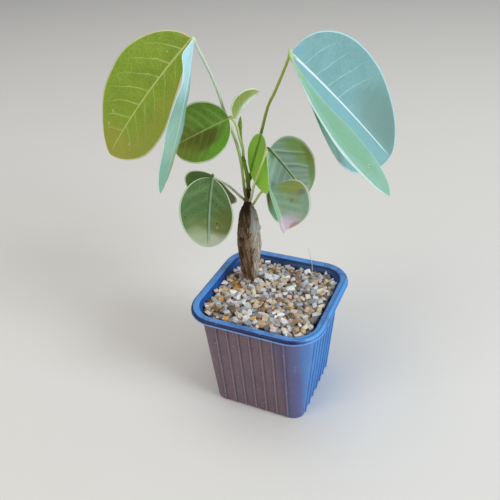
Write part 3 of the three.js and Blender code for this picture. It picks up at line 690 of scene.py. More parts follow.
# Chosen large stones: x, y, z, three half sizes, turn in degrees, kind and shade
CHOSEN_STONES = [
    (-26.3, -1.3, 58.2, 2.0, 2.2, 1.9, 0, 4, 0.05), (-19.4, -1.6, 58.6, 2.2, 6.2, 1.2, 11, 8, 0),
    (-15.0, -0.1, 58.9, 1.0, 1.2, 2.2, 0, 3, 0), (-11.5, 0.6, 59.4, 1.7, 1.7, 2.2, 20, 10, 0),
    (-5.2, -3.2, 59.0, 3.7, 1.0, 0.6, 20, 12, 0), (-23.6, -10.8, 58.1, 2.0, 2.4, 1.7, 0, 1, 0.05),
    (-21.0, -9.4, 59.4, 0.9, 1.0, 1.5, 0, 10, 0), (-27.4, -13.4, 58.0, 1.9, 1.9, 1.8, 5, 13, 0),
    (-14.4, -13.8, 58.8, 2.2, 1.5, 1.3, 10, 12, 0), (-17.2, -13.2, 58.8, 1.3, 1.6, 1.3, 0, 2, 0),
    (-10.6, -17.1, 58.6, 3.0, 1.6, 1.1, 15, 5, 0.1), (-18.4, -17.7, 58.2, 2.3, 2.6, 1.5, 0, 9, 0.1),
    (2.1, -3.3, 58.4, 2.6, 2.0, 1.5, 10, 11, 0.3), (7.1, -1.9, 58.6, 1.7, 2.3, 2.0, -20, 7, 0),
    (4.0, -10.1, 58.6, 2.6, 1.4, 1.3, 10, 12, 0), (-1.8, -18.4, 58.4, 2.8, 2.0, 1.1, 20, 6, 0.05),
    (5.6, -16.4, 58.6, 2.6, 1.5, 1.1, 30, 6, 0), (11.3, -18.3, 58.8, 1.3, 1.5, 1.8, 0, 10, 0),
    (-10.1, -24.1, 58.4, 3.0, 1.5, 1.0, 18, 3, 0), (5.0, 6.4, 58.6, 1.4, 1.5, 1.2, 0, 12, 0),
    (14.3, 8.1, 58.6, 1.6, 1.6, 1.5, 0, 10, 0.05), (23.4, 5.7, 58.4, 2.1, 2.0, 1.6, 0, 3, 0),
    (14.6, 2.5, 58.4, 1.9, 1.9, 1.4, 30, 3, 0), (23.8, -5.1, 58.2, 1.6, 1.6, 1.2, 0, 13, 1.1),
    (20.7, -11.5, 58.4, 2.2, 1.8, 1.4, 0, 5, 0.05), (6.3, 11.1, 58.2, 2.4, 2.4, 1.5, 10, 6, 0.2),
    (11.9, 13.6, 58.4, 2.3, 2.0, 1.8, 0, 13, 0.2), (-7.8, -10.2, 58.5, 1.6, 2.2, 1.1, 30, 8, 0.1),
    (-2.4, -22.3, 58.5, 1.2, 1.4, 1.7, 0, 12, 0), (15.6, -24.2, 58.4, 2.6, 1.6, 1.2, 15, 7, 0.1),
    (16.6, -18.1, 58.4, 2.2, 1.8, 1.4, 0, 5, 0.1), (23.1, 19.0, 58.2, 2.4, 2.0, 1.5, 0, 0, 0.1),
    (11.2, 24.8, 57.8, 4.2, 3.0, 1.2, 15, 5, 0.1), (21.0, 21.8, 58.4, 0.9, 2.2, 1.0, 30, 10, 0),
    (-18.2, 22.6, 57.6, 2.6, 2.2, 1.7, 0, 3, 0), (-25.6, 14.0, 57.6, 2.5, 3.0, 1.6, 0, 2, 0),
]


def stone_shapes(random, kinds):
    """Angular stones: for each kind the convex hull of a cube's eight corners and three
    more points, all moved at random, scaled to a half size of one."""
    corners = np.array([(i, j, k) for i in (-1, 1) for j in (-1, 1) for k in (-1, 1)], float)
    shapes = []
    for _ in range(kinds):
        cloud = np.concatenate([corners + random.uniform(-0.55, 0.55, (8, 3)),
                                unit(random.normal(size=(3, 3))) * 1.55])
        mesh = bpy.data.meshes.new("stone")
        mesh.from_pydata(cloud.tolist(), [], [])
        solid = bmesh.new()
        solid.from_mesh(mesh)
        bmesh.ops.convex_hull(solid, input=solid.verts)
        loose = [v for v in solid.verts if not v.link_faces]
        bmesh.ops.delete(solid, geom=loose, context="VERTS")
        bmesh.ops.triangulate(solid, faces=solid.faces)
        solid.verts.index_update()
        solid.to_mesh(mesh)
        solid.free()
        points = np.empty(len(mesh.vertices) * 3)
        mesh.vertices.foreach_get("co", points)
        faces = np.empty(len(mesh.polygons) * 3, int)
        mesh.polygons.foreach_get("vertices", faces)
        bpy.data.meshes.remove(mesh)
        points, faces = points.reshape(-1, 3), faces.reshape(-1, 3)
        points -= (points.max(0) + points.min(0)) / 2
        shapes.append((points / np.abs(points).max(0), faces))
    return shapes


def stones_surface(random, centres, sizes, tilt, values):
    """Stones set down at their centres: each takes one of the shapes, turned at random by
    quarter turns, scaled by its three half sizes and tilted. values are repeated for each
    stone's points."""
    shapes = stone_shapes(random, STONE_KINDS)
    kind = random.integers(0, len(shapes), len(centres))
    flip = random.choice([-1.0, 1.0], (len(centres), 2))
    points, triangles, repeated, shift = [], [], [], 0
    for k, (shape, faces) in enumerate(shapes):
        own = np.nonzero(kind == k)[0]
        # Two axes turned round together keep the faces outwards
        turned = shape[None] * np.stack([flip[own, 0], flip[own, 0], np.ones(len(own))],
                                        -1)[:, None]
        turned = turned * np.stack([np.ones(len(own)), flip[own, 1], flip[own, 1]], -1)[:, None]
        scaled = turned * sizes[own][:, None]
        placed = np.einsum("nij,nvj->nvi", tilt[own], scaled) + centres[own][:, None]
        step = np.arange(len(own))[:, None, None] * len(shape)
        points.append(placed.reshape(-1, 3))
        triangles.append((faces[None] + step).reshape(-1, 3) + shift)
        repeated.append(np.repeat(values[own], len(shape), axis=0))
        shift += len(points[-1])
    return (np.concatenate(points), np.zeros((0, 4), int), np.concatenate(triangles),
            np.concatenate(repeated))


def upright_turn(angle):
    """Rotation matrices about the vertical."""
    c, s, zero = np.cos(angle), np.sin(angle), angle * 0
    return np.stack([c, -s, zero, s, c, zero, zero, zero, zero + 1], -1).reshape(-1, 3, 3)


def leaning(random, count, steep):
    """Rotation matrices: a random turn about the vertical after a tilt of up to steep."""
    spin = random.uniform(0, 2 * np.pi, count)
    lean = random.uniform(-steep, steep, count)
    c, s, zero = np.cos(lean), np.sin(lean), lean * 0
    over = np.stack([zero + 1, zero, zero, zero, c, -s, zero, s, c], -1).reshape(-1, 3, 3)
    return upright_turn(spin) @ over


def settle(random, radii, fixed, low, half, corner):
    """Sets stones down one by one, each at the lowest of several random places: its height
    there is the bed's or what the stones below hold it up to. No stone lies outside the
    pot, in the caudex or on a fixed stone."""
    tries, blocked_height = 14, 1e3
    placed = list(fixed)
    for r in radii:
        spots = random.uniform(-half, half, (tries, 2)) * (1 - r * 0.55 / half)
        reach = np.abs(spots) - (half - corner)
        outside = np.hypot(*np.maximum(reach, 0).T) > corner - r * 0.5
        from_caudex = np.hypot(spots[:, 0] - FOOT[0], spots[:, 1] - FOOT[1]) < 2.9 + r * 0.5
        known = np.array(placed)
        gap = np.hypot(spots[:, :1] - known[:, 0], spots[:, 1:] - known[:, 1])
        span = (r + known[:, 3]) * 0.86
        lift = known[:, 2] + np.sqrt(np.maximum(span ** 2 - gap ** 2, 0)) * 0.8
        height = np.where(gap < span, lift, low).max(1)
        bare = gap[:, :len(fixed)] < known[:len(fixed), 3] * 0.75 + r * 0.3
        blocked = outside | from_caudex | bare.any(1)
        height = np.where(blocked, blocked_height, np.maximum(height, low))
        best = int(np.argmin(height))
        placed.append((*spots[best], height[best], r))
    return np.array(placed)[len(fixed):]


def within_wall(points):
    """Moves points that would go through the pot's wall back to its inner face."""
    width, corner = body_at(points[:, 2], WALL + 0.12)
    straight = (width / 2 - corner)[:, None]
    over = np.maximum(np.abs(points[:, :2]) - straight, 0)
    shrink = np.minimum(1, corner / np.maximum(np.hypot(*over.T), 1e-6))[:, None]
    place = np.minimum(np.abs(points[:, :2]), straight) + over * shrink
    return np.column_stack([np.sign(points[:, :2]) * place, points[:, 2]])


def bed_surface(low):
    """The bed under the stones: a slab as wide as the inside of the pot."""
    levels = np.array([50.4, 52.0, low + 0.1])
    width, corner = body_at(levels, WALL + 0.3)
    straight = np.array([0, 5, 10, 15])
    free = np.linspace(0, 1, 9)[1:]
    return skin(square_rings(width, corner, levels, straight, free, np.zeros((3, 4))))


def grit_places(random, count, half, corner):
    """Centres and half sizes of small grains between the stones, inside the pot and clear
    of the caudex."""
    places = np.column_stack([random.uniform(-half + 1, half - 1, (count, 2)),
                              random.uniform(55.4, 57.2, count)])
    sizes = random.uniform(0.35, 0.9, (count, 3))
    reach = np.maximum(np.abs(places[:, :2]) - (half - corner), 0)
    from_caudex = np.hypot(places[:, 0] - FOOT[0], places[:, 1] - FOOT[1])
    kept = (np.hypot(*reach.T) < corner - 1) & (from_caudex > 3)
    return places[kept], sizes[kept]


def gravel_surface(settings):
    """Bed, chosen stones, settled stones and grit as one surface, and for each point its
    stone's kind, from 0 to 1, and shade."""
    random = np.random.default_rng(20)
    low = settings.bed / MM
    width, corner = body_at(56.0, WALL + 0.35)
    half = width / 2
    chosen = np.array(CHOSEN_STONES)
    fixed = [(x, y, z, (a + b) / 2) for x, y, z, a, b, *_ in chosen]
    # The largest third settles first, in any order, then the others from large to small
    spread = np.exp(random.normal(0, 0.3, settings.stones))
    radii = np.sort(settings.size / MM * np.clip(spread, 0.5, 1.5))[::-1].copy()
    radii[: len(radii) // 3] = random.permutation(radii[: len(radii) // 3])
    found = settle(random, radii, fixed, low, half, corner)
    sizes = found[:, 3:] * random.uniform([1.0, 0.75, 0.5], [1.35, 1.05, 0.85],
                                          (len(found), 3))
    centres = np.concatenate([chosen[:, :3], found[:, :3]])
    # The top lies lower at the back and on the left
    centres[:, 2] -= (2.4 * smoothstep(centres[:, 1], 8, 25)
                      + 1.3 * smoothstep(-centres[:, 0], 17, 27))
    sizes = np.concatenate([chosen[:, 3:6] * 1.08, sizes])
    level = upright_turn(np.radians(chosen[:, 6]))
    tilt = np.concatenate([level, leaning(random, len(found), 0.9)])
    odds = KIND_SHARES / KIND_SHARES.sum()
    pick = lambda count: random.choice(STONE_KINDS, count, p=odds)
    kinds = np.concatenate([chosen[:, 7], pick(len(found))])
    grains, grain_sizes = grit_places(random, settings.grit, half, corner)
    centres = np.concatenate([centres, grains])
    sizes = np.concatenate([sizes, grain_sizes])
    tilt = np.concatenate([tilt, leaning(random, len(grains), 1.0)])
    kinds = (np.concatenate([kinds, pick(len(grains))]) + 0.5) / STONE_KINDS
    # Few stones are dark
    dark = random.uniform(0, 1, len(kinds)) ** 2.6
    dark[: len(chosen)] = chosen[:, 8]
    points, quads, triangles, own = stones_surface(
        random, centres, sizes, tilt, np.column_stack([kinds, dark]))
    bed = bed_surface(low)
    # The bed is painted dark: painted shade in the gaps between the stones
    bed_kind, bed_shade = 0.85, 1.6
    count = len(bed[0])
    values = {"kind": np.concatenate([np.full(count, bed_kind), own[:, 0]]),
              "shade": np.concatenate([np.full(count, bed_shade), own[:, 1]])}
    return joined([bed, (within_wall(points), quads, triangles)]), values


def gravel_finish():
    """Crushed stone of mixed kinds by the number that each carries, mottled, stained with rust in
    places and dusty, and darkened by each point's shade number: a few stones are dark, and the
    bed is darkened as painted shade in the gaps between the stones."""
    f = Finish("gravel_stones")
    spot = f.place()
    kind = f.attribute("kind")
    shade = f.attribute("shade")
    palette = ["EDE3D0", "DCC4A0", "FAFAFA", "CCD9EA", "CFAE80", "F2DACC", "B4BDCA", "F8F2F4",
               "D6A256", "EEDEC6", "E6EFFC", "D2AE8A", "FFFFFF", "C2BEBE", "F0E4D4", "9C6A40"]
    stops = [(k / len(palette), srgb(code)) for k, code in enumerate(palette)]
    colour = f.steps(kind, stops)
    own = f.node("VectorMath", {"operation": "ADD"}, [spot, f.node("CombineXYZ", None, [
        kind * 90, shade * 70, kind * 50])])
    fine = f.noise(own, 1.8, 4.0, 0.65)
    patch = f.noise(own, 0.5, 3.0, 0.6)
    vein = f.noise(f.stretch(own, (1.0, 0.5, 1.6), (0.4, 0.7, 0.2)), 0.7, 4.0, 0.6, 1.2)
    colour = f.mix(fine.rise(0.45, 0.72) * 0.12, colour, srgb("A08C72"))
    colour = f.mix(vein.rise(0.5, 0.66) * 0.55, colour, srgb("FCFAF8"))
    colour = f.mix(patch.rise(0.56, 0.7) * 0.4, colour, srgb("C08A4C"))
    colour = f.mix(patch.rise(0.42, 0.3) * 0.35, colour, srgb("9AA4B2"))
    colour = f.mix(shade * 0.9, colour, srgb("564230"), "MULTIPLY")
    rough = 0.36 + fine * 0.35
    return f.close(colour, rough, f.bump(fine + patch, 0.14), {"Specular IOR Level": 0.55})


# Caudex


def caudex_middle(z):
    """The axis at height z: upright in the soil, then a straight line to the neck."""
    share = np.clip((z - LEAN_START) / (NECK_TOP - LEAN_START), 0, 1)
    return (FOOT[0] + (NECK[0] - FOOT[0]) * share, FOOT[1] + (NECK[1] - FOOT[1]) * share)


def caudex_rings(rows, sides):
    """Spindle round a line. Its radius is a smooth curve through the profile's diameters,
    times low ridges in the angle, plus bark: fine tall fissures that wander and thin raised
    flakes, all fading into the neck and the root, a ringed collar below the neck and one
    small knob."""
    heights, diameters = np.array(CAUDEX_PROFILE, float).T
    buried = 54.0
    z = np.concatenate([np.linspace(heights[0], buried, 24, endpoint=False),
                        np.linspace(buried, NECK_TOP, rows)])
    angle = np.linspace(0, 2 * np.pi, sides, endpoint=False)
    Z, A = np.meshgrid(z, angle, indexing="ij")
    index = np.clip(np.searchsorted(heights, Z, side="right") - 1, 0, len(heights) - 2)
    z0, z1 = heights[index], heights[index + 1]
    d0, d1 = diameters[index], diameters[index + 1]
    straight = (Z - z0) / (z1 - z0)
    radius = (d0 + (d1 - d0) * (0.5 * smoothstep(Z, z0, z1) + 0.5 * straight)) / 2
    fade = smoothstep(Z, 52, 60) * (1 - smoothstep(Z, 100, 107))
    ridges = (0.035 * np.cos(9 * A + 2.1 * np.sin(Z / 9)) + 0.025 * np.cos(5 * A - Z / 6)
              + 0.012 * np.sin(Z / 1.9 + 3 * A))
    turn = A / 2 / np.pi
    wander = (lattice_noise(turn * 8, Z / 9, 5, 8) - 0.5) * 2.2
    tall = 1 - np.abs(2 * lattice_noise(turn * 24 + wander, Z / 8.5, 6, 24) - 1)
    thin = 1 - np.abs(2 * lattice_noise(turn * 60 + wander * 2.2, Z / 3.4, 7, 60) - 1)
    fissure = np.maximum(smoothstep(tall, 0.84, 0.99), 0.6 * smoothstep(thin, 0.84, 0.99))
    flake = smoothstep(lattice_noise(turn * 34 + wander, Z / 3.0, 8, 34), 0.55, 0.63)
    small = lattice_noise(turn * 74, Z / 0.9, 9, 74) - 0.5
    collar_height, knob_height, knob_angle = 104.0, 91.2, 0.5
    collar = np.exp(-((Z - collar_height) / 2.2) ** 2) * np.abs(np.sin(Z * 2.4)) * 0.16
    bark = -0.26 * fissure + 0.15 * flake + 0.14 * small
    strength = smoothstep(Z, 53, 58) * (1 - 0.7 * smoothstep(Z, 100, 106))
    r = radius * (1 + fade * ridges) + bark * strength + collar
    turned = np.angle(np.exp(1j * (A - knob_angle)))
    r = r + 0.9 * np.exp(-((Z - knob_height) / 1.3) ** 2 - (turned / 0.3) ** 2)
    x, y = caudex_middle(Z)
    rings = np.stack([x + r * np.cos(A), y + r * np.sin(A), Z], -1)
    return rings, fissure * strength, flake * strength


def bark_finish():
    """Finely streaked bark: brown on its left and pale grey on its right, partly weathering and
    partly painted light from the right, with a painted highlight on the upper right, reddish at
    the foot and dark at the neck, with dark fissures and pale flakes."""
    f = Finish("caudex_bark")
    spot = f.place()
    x, y, z = f.axes(spot)
    groove = f.attribute("groove")
    flake = f.attribute("flake")
    long = f.noise(f.stretch(spot, (1.0, 1.0, 0.16)), 1.5, 5.0, 0.65, 0.6)
    fine = f.noise(f.stretch(spot, (1.0, 1.0, 0.4)), 3.6, 5.0, 0.7)
    broad = f.noise(f.stretch(spot, (1.0, 1.0, 0.45)), 0.2, 3.0)
    brown = f.mix(long.rise(0.3, 0.7), srgb("402C1A"), srgb("82623E"))
    grey = f.mix(long.rise(0.3, 0.7), srgb("8D7F69"), srgb("D3CCBC"))
    # From the caudex's brown left to its pale right, as x and y grow together: partly weathered
    # bark and partly painted light from the right
    lean = (x + 15.4) * 0.92 + (y - FOOT[1]) * 0.38
    right = (lean + (broad - 0.5) * 6 + (fine - 0.5) * 2).rise(0.9, 3.7)
    colour = f.mix(right, brown, grey)
    colour = f.mix(flake * fine.rise(0.3, 0.7) * (0.35 + right * 0.4), colour, srgb("DCD3BF"))
    colour = f.mix(fine.rise(0.52, 0.75) * 0.5, colour, srgb("5B4431"))
    colour = f.mix(long.rise(0.45, 0.3) * 0.4, colour, srgb("3A281A"))
    colour = f.mix(groove * 0.75, colour, srgb("2A1C12"))
    foot = (z + (broad - 0.5) * 6).rise(65.0, 57.5) * (1 - right * 0.8)
    colour = f.mix(foot * 0.65, colour, srgb("74402A"))
    neck = (z + (fine - 0.5) * 3).rise(99.0, 103.0)
    colour = f.mix(neck * (0.95 - right * 0.2), colour, srgb("3C2416"))
    # Painted highlight: pale bluish grey on the upper right, where the light from the right falls
    pale = (lean + (fine - 0.5) * 1.6).rise(0.9, 2.2) * z.rise(86.0, 95.0) * z.rise(107.0, 103.0)
    colour = f.mix(pale * (0.3 + fine.rise(0.35, 0.6) * 0.45), colour, srgb("CFD0CE"))
    height = fine * 0.5 + long * 0.5 - groove * 0.6
    return f.close(colour, 0.78 + fine * 0.2, f.bump(height, 0.16), {"Specular IOR Level": 0.3})


# Leaves

# The leaf coordinates' UV map is this many millimetres wide and high
LEAF_PLANE = 100.0


def bezier(points, t):
    """Quadratic Bezier line and its unit tangents."""
    a, b, c = points
    t = t[:, None]
    line = (1 - t) ** 2 * a + 2 * t * (1 - t) * b + t ** 2 * c
    return line, unit(2 * (1 - t) * (b - a) + 2 * t * (c - b))


def leaflet_axes(spec):
    """Base, bend and tip of the midrib, and the blade's normal and lateral, from the
    leaflet's angles: along the heading and droop, rolled about the midrib."""
    h, d, r = (math.radians(spec[k]) for k in ("heading", "droop", "roll"))
    along = np.array([math.cos(h) * math.cos(d), math.sin(h) * math.cos(d), -math.sin(d)])
    up = np.array([math.cos(h) * math.sin(d), math.sin(h) * math.sin(d), math.cos(d)])
    side = np.array([-math.sin(h), math.cos(h), 0])
    normal = math.cos(r) * up + math.sin(r) * side
    lateral = np.cross(normal, along)
    out = math.radians(spec["out"])
    node = np.array(NODES[spec["node"]], float)
    base = node + spec.get("reach", STALKLET) * np.array([math.cos(out), math.sin(out), 0])
    length = spec["length"]
    bend = base + along * length / 2 + normal * spec.get("arch", 0) * length
    bend = bend + lateral * spec.get("sweep", 0) * length
    return node, (base, bend, base + along * length), normal, lateral


def side_width(spec, t, sign):
    """Half width at t: half times the sine of pi t^peak, to the power blunt. lean sets the
    two halves' peaks apart and wide widens one half. tip is the share of the length that a
    round end takes: t is shortened by it and the last of it closes as a circle does."""
    lean = spec.get("lean", 0) * sign
    tip = spec.get("tip", 0.0)
    short = np.clip(t * (1 - tip), 1e-9, 1 - 1e-9)
    wave = np.sin(np.pi * short ** (spec.get("peak", 1) * (1 + lean)))
    width = spec["half"] * np.maximum(wave, 0) ** spec["blunt"]
    if tip:
        width = width * np.sqrt(1 - np.clip((t - 1 + 1.5 * tip) / (1.5 * tip), 0, 1) ** 2)
    return width * (spec.get("wide", 1) if sign > 0 else 1)


def vein_place(spec, x, y, right):
    """Which side vein a point is near, in whole numbers on a vein: its distance along the
    midrib, less where the first vein starts and a lag that grows with the distance from the
    midrib and its square, over the veins' spacing. right is 1 on the right half."""
    (a, b, first), (c, d, second) = spec.get("veins", ((0.5, 0.015, 4), (0.5, 0.015, 7)))
    away = abs(x)
    lag_left = away * a + away * away * b + first
    lag_right = away * c + away * away * d + second
    return (y - lag_left * (1 - right) - lag_right * right) / spec.get("spacing", 7.0)


def leaflet_surface(spec, thickness, wave):
    """Thin closed blade. A row is at t along a bent and twisted midrib; a column is across
    it by s times the half width, folded up from the midrib and curled by s squared. Veins
    sink the upper face and stand out below; the margin is rounded and slightly wavy, and
    bumps lift round places. over puts the underside on the normal's side."""
    node, midrib, normal, lateral = leaflet_axes(spec)
    length = spec["length"]
    # Rows stand closer together towards the base and the tip
    rows = int(60 + length * 1.1)
    t = 0.5 - 0.5 * np.cos(np.pi * np.arange(1, rows) / rows)
    line, tangent = bezier(midrib, t)
    turn = math.radians(spec.get("twist", 0)) * (t - 0.5)[:, None]
    n = np.cos(turn) * normal + np.sin(turn) * lateral
    n = unit(n - tangent * (n * tangent).sum(1, keepdims=True))
    across = np.cross(n, tangent)
    # The columns next to the midrib are at set distances from it, the others share the rest
    near = np.array([0, 0.16, 0.32, 0.5, 0.72, 1.0, 1.35])
    far = int(8 + spec["half"])
    share = np.linspace(0, 1, far + 1)[1:]
    share = 0.75 * share + 0.25 * np.sin(share * np.pi / 2)
    columns = {}
    for sign in (1, -1):
        w = side_width(spec, t, sign)[:, None]
        close = np.minimum(near[None] / np.maximum(w, 1e-6), near / near[-1] * 0.3)
        rest = close[:, -1:] + (1 - close[:, -1:]) * share[None]
        columns[sign] = sign * np.concatenate([close, rest], 1)
    # A ring goes across one face from margin to margin and back across the other
    s = np.concatenate([columns[1][:, ::-1], columns[-1][:, 1:]], 1)
    s = np.concatenate([s, s[:, -2:0:-1]], 1)
    front = np.arange(s.shape[1]) < 2 * (len(near) + far) - 1
    upper = front != spec.get("over", False)
    w = np.where(s > 0, side_width(spec, t, 1)[:, None], side_width(spec, t, -1)[:, None])
    fold = math.radians(spec.get("fold", 0))
    x, y = w * s, np.broadcast_to((t * length)[:, None], s.shape)
    # Small leaflets have shallower waves and veins
    size = min(length / 50, 1.0)
    waves = 3.3
    ripple = wave * spec.get("wavy", 1.0) * size * np.abs(s) ** 3 * np.sin(
        2 * np.pi * waves * t[:, None] + 1.7 * (s > 0))
    ripple = ripple * np.sin(np.pi * t)[:, None] ** 0.5
    lift = w * (np.abs(s) * math.sin(fold) + spec.get("curl", 0) * s * s) + ripple
    for t0, s0, rt, rs, height in spec.get("bumps", ()):
        lift = lift + height * np.exp(-((t[:, None] - t0) / rt) ** 2 - ((s - s0) / rs) ** 2)
    bulge = np.sin(np.pi * vein_place(spec, x, y, x > 0)) ** 2
    bulge = (bulge ** 0.6 - 0.6) * smoothstep(np.abs(x), 0.3, 3.0) * (1 - np.abs(s) ** 4)
    face = -1.0 if spec.get("over", False) else 1.0
    lift = lift + face * spec.get("quilt", 0.12) * size * bulge
    # The midrib is sunk a little into the upper face and stands out below
    sunk, raised = -0.08, 0.36
    half = thickness / 2 * np.sqrt(np.maximum(1 - np.abs(s) ** 14, 0))
    rib = np.exp(-(x / (0.62 - 0.3 * t[:, None])) ** 2) * (1 - 0.65 * t[:, None])
    half = half + np.where(upper, sunk * rib, raised * rib)
    offset = lift + np.where(front, half, -half)
    rings = (line[:, None] + (x * math.cos(fold))[..., None] * across[:, None]
             + offset[..., None] * n[:, None])
    blade = skin(rings, *bezier(midrib, np.array([0.003, 0.997]))[0])
    ends = [0.0, 1.0]
    values = {
        "along": np.concatenate([np.broadcast_to(t[:, None], s.shape).ravel(), ends]),
        "across": np.concatenate([s.ravel(), [0, 0]]),
        "upper": np.concatenate([np.broadcast_to(upper, s.shape).ravel() * 1.0, [0.5, 0.5]]),
        "edge": np.concatenate([(w * (1 - np.abs(s))).ravel(), [0, 0]]),
    }
    uv = np.stack([0.5 + np.concatenate([x.ravel(), [0, 0]]) / LEAF_PLANE,
                   np.concatenate([y.ravel(), [0, length]]) / LEAF_PLANE], -1)
    return node, midrib, (blade, values, uv)


def segment_distance(x, y, start, end):
    """How far a point lies from the straight line between two points: its distance from
    the line's nearest place, whose share of the length stays between 0 and 1."""
    (ax, ay), (bx, by) = start, end
    dx, dy = bx - ax, by - ay
    share = ((x - ax) * dx + (y - ay) * dy) / (dx * dx + dy * dy)
    share = share.most(0.0).least(1.0)
    return ((x - ax - share * dx) ** 2 + (y - ay - share * dy) ** 2) ** 0.5


def leaf_finish(name, spec, look):
    """A leaflet's two faces: colour from base to tip, a midrib, thin side veins that curve
    forward and fade before the margin, a faint fine network, a thin pale margin, and soft
    patches, dots and lines given in leaf coordinates."""
    f = Finish(name)
    spot = f.place()
    plane = f.node("UVMap", {"uv_map": "leaf_plane"})
    flat = f.node("VectorMath", {"operation": "SCALE"}, {0: plane, "Scale": LEAF_PLANE})
    u, v, _ = f.axes(flat)
    x = u - LEAF_PLANE / 2
    t, s = f.attribute("along"), f.attribute("across")
    upper = f.attribute("upper").rise(0.3, 0.7)
    edge = f.attribute("edge")
    # Side veins: gap is how far a point lies from the nearest
    spacing = spec.get("spacing", 7.0)
    bend = (f.noise(flat, 0.13, 3.0) - 0.5) * 3.2 * abs(x).rise(0.0, 6.0)
    order = vein_place(spec, x, v + bend, s.rise(-0.001, 0.001))
    gap = abs((order + 0.5).math("FRACT") - 0.5) * spacing
    broken = f.noise(flat, 0.22, 2.0)
    thin = 0.34 - abs(s) * 0.16
    lateral = (gap - thin).rise(0.16, -0.1)
    lateral = lateral * abs(s).rise(0.93, 0.5) * t.rise(0.0, 0.04) * t.rise(0.97, 0.8)
    lateral = lateral * (0.55 + broken.rise(0.38, 0.55) * 0.45)
    left, right = look.get("sides", (1.0, 1.0))
    lateral = lateral * (s.rise(-0.001, 0.001) * (right - left) + left)
    lateral = lateral * t.rise(*look.get("fade", (1.0, 0.9)))
    swell = gap.rise(spacing * 0.5, spacing * 0.12) * abs(s).rise(1.0, 0.6)
    # Midrib, thinner towards the tip, and the network between the veins
    rib_width = look.get("rib", 0.62)
    rib = (abs(x) + t * rib_width * 0.55).rise(rib_width, rib_width * 0.55) * t.rise(0.995, 0.9)
    warp = f.node("VectorMath", {"operation": "ADD"}, [flat, f.node("TexNoise", None, {
        "Vector": flat, "Scale": 0.5, "Detail": 2.0}, out="Color")])
    net = f.cells(warp, 0.75, "DISTANCE_TO_EDGE").rise(0.1, 0.02)
    net = net.most(f.cells(warp, 0.27, "DISTANCE_TO_EDGE").rise(0.055, 0.01))
    mottle = f.noise(spot, 0.11, 4.0, 0.6)
    grain = f.noise(flat, 1.3, 4.0, 0.7)
    # The two faces' own colours, then what is laid over both
    faces = []
    for side in ("lower", "upper"):
        base, second, tip, vein, strength, network, middle, bold = look[side]
        colour = f.mix(mottle.rise(0.34, 0.66), srgb(base), srgb(second))
        colour = f.mix((t + (mottle - 0.5) * 0.5).rise(0.5, 1.0) * 0.8, colour, srgb(tip))
        colour = f.mix(net * network, colour, srgb(vein))
        colour = f.mix(swell * look.get("swell", 0.0), colour, srgb(vein))
        colour = f.mix(lateral * strength, colour, srgb(vein))
        faces.append((colour, srgb(middle), bold))
    (lower_colour, lower_rib, lower_bold), (upper_colour, upper_rib, upper_bold) = faces
    colour = f.mix(upper, lower_colour, upper_colour)
    ragged = (grain - 0.5) * 0.3 + (mottle - 0.5) * 0.7
    for t0, s0, rt, rs, tint, strength in look.get("patches", ()):
        far = ((((t - t0) / rt) ** 2 + ((s - s0) / rs) ** 2) ** 0.5 + ragged).rise(1.25, 0.55)
        colour = f.mix(far * strength * (1 - lateral * 0.3), colour, srgb(tint))
    colour = f.mix(rib * (upper * upper_bold + (1 - upper) * lower_bold), colour,
                   f.mix(upper, lower_rib, upper_rib))
    if "shine" in look:
        tint, wide = look["shine"]
        shine = abs(x - wide * 0.75 - rib_width * 0.5).rise(wide * 0.75, wide * 0.3)
        colour = f.mix(shine * t.rise(0.98, 0.85) * (0.45 + broken * 0.6), colour, srgb(tint))
    colour = f.mix(grain.rise(0.4, 0.75) * 0.1, colour, srgb("FFFFFF"), "OVERLAY")
    for t0, s0, radius, tint, strength in look.get("dots", ()):
        far = ((t - t0) * spec["length"]) ** 2 + ((s - s0) * spec["half"]) ** 2
        colour = f.mix((far ** 0.5 + (grain - 0.5) * 0.5).rise(radius, radius * 0.4) * strength,
                       colour, srgb(tint))
    for points, width, tint, strength, reach in look.get("lines", ()):
        gaps = [segment_distance(x, v, *ends) for ends in zip(points, points[1:])]
        near = gaps[0]
        for other in gaps[1:]:
            near = near.least(other)
        near = near.rise(width, width * 0.45) * abs(s).rise(reach, reach - 0.4)
        colour = f.mix(near * strength, colour, srgb(tint))
    tint, width = look["margin"]
    margin = (edge + (grain - 0.5) * 0.12).rise(width + 0.14, width - 0.12)
    colour = f.mix(margin * 0.85, colour, srgb(tint))
    rough = 0.42 + grain * 0.2 + (1 - upper) * 0.12
    height = (lateral + rib) * (0.5 - upper) + grain * 0.25 - net * 0.2
    normal = f.bump(height, 0.07)
    return f.close(colour, rough, normal, {
        "Specular IOR Level": 0.35, "Subsurface Weight": 0.12, "Subsurface Scale": 0.0015,
        "Subsurface Radius": (0.6, 1.0, 0.3)})


def stalk_finish(name, low, high, scar, pale=1.0, scarred=0.14):
    """Green stalk whose colour changes from its foot to its top, with a duller foot, fine
    length-wise streaks and pale dots. pale is the strength of streaks and dots, scarred the
    share of the length that the foot's colour takes."""
    f = Finish(name)
    spot = f.place()
    share = f.attribute("along")
    streak = f.noise(f.stretch(spot, (1.0, 1.0, 0.15)), 2.5, 4.0, 0.6)
    fine = f.noise(spot, 2.0, 3.0)
    colour = f.mix((share + (streak - 0.5) * 0.3).rise(0.1, 0.8), srgb(low), srgb(high))
    colour = f.mix(streak.rise(0.5, 0.75) * 0.3 * pale, colour, srgb("E8F0C8"))
    colour = f.mix((share + (streak - 0.5) * scarred).rise(scarred, scarred * 0.6) * 0.85, colour,
                   srgb(scar))
    colour = f.mix((1 - f.cells(spot, 1.1).rise(0.1, 0.25)) * 0.5 * pale, colour,
                   srgb("F1F3D8"))
    return f.close(colour, 0.5 + fine * 0.2, f.bump(streak, 0.08), {
        "Specular IOR Level": 0.35, "Subsurface Weight": 0.08, "Subsurface Scale": 0.001})


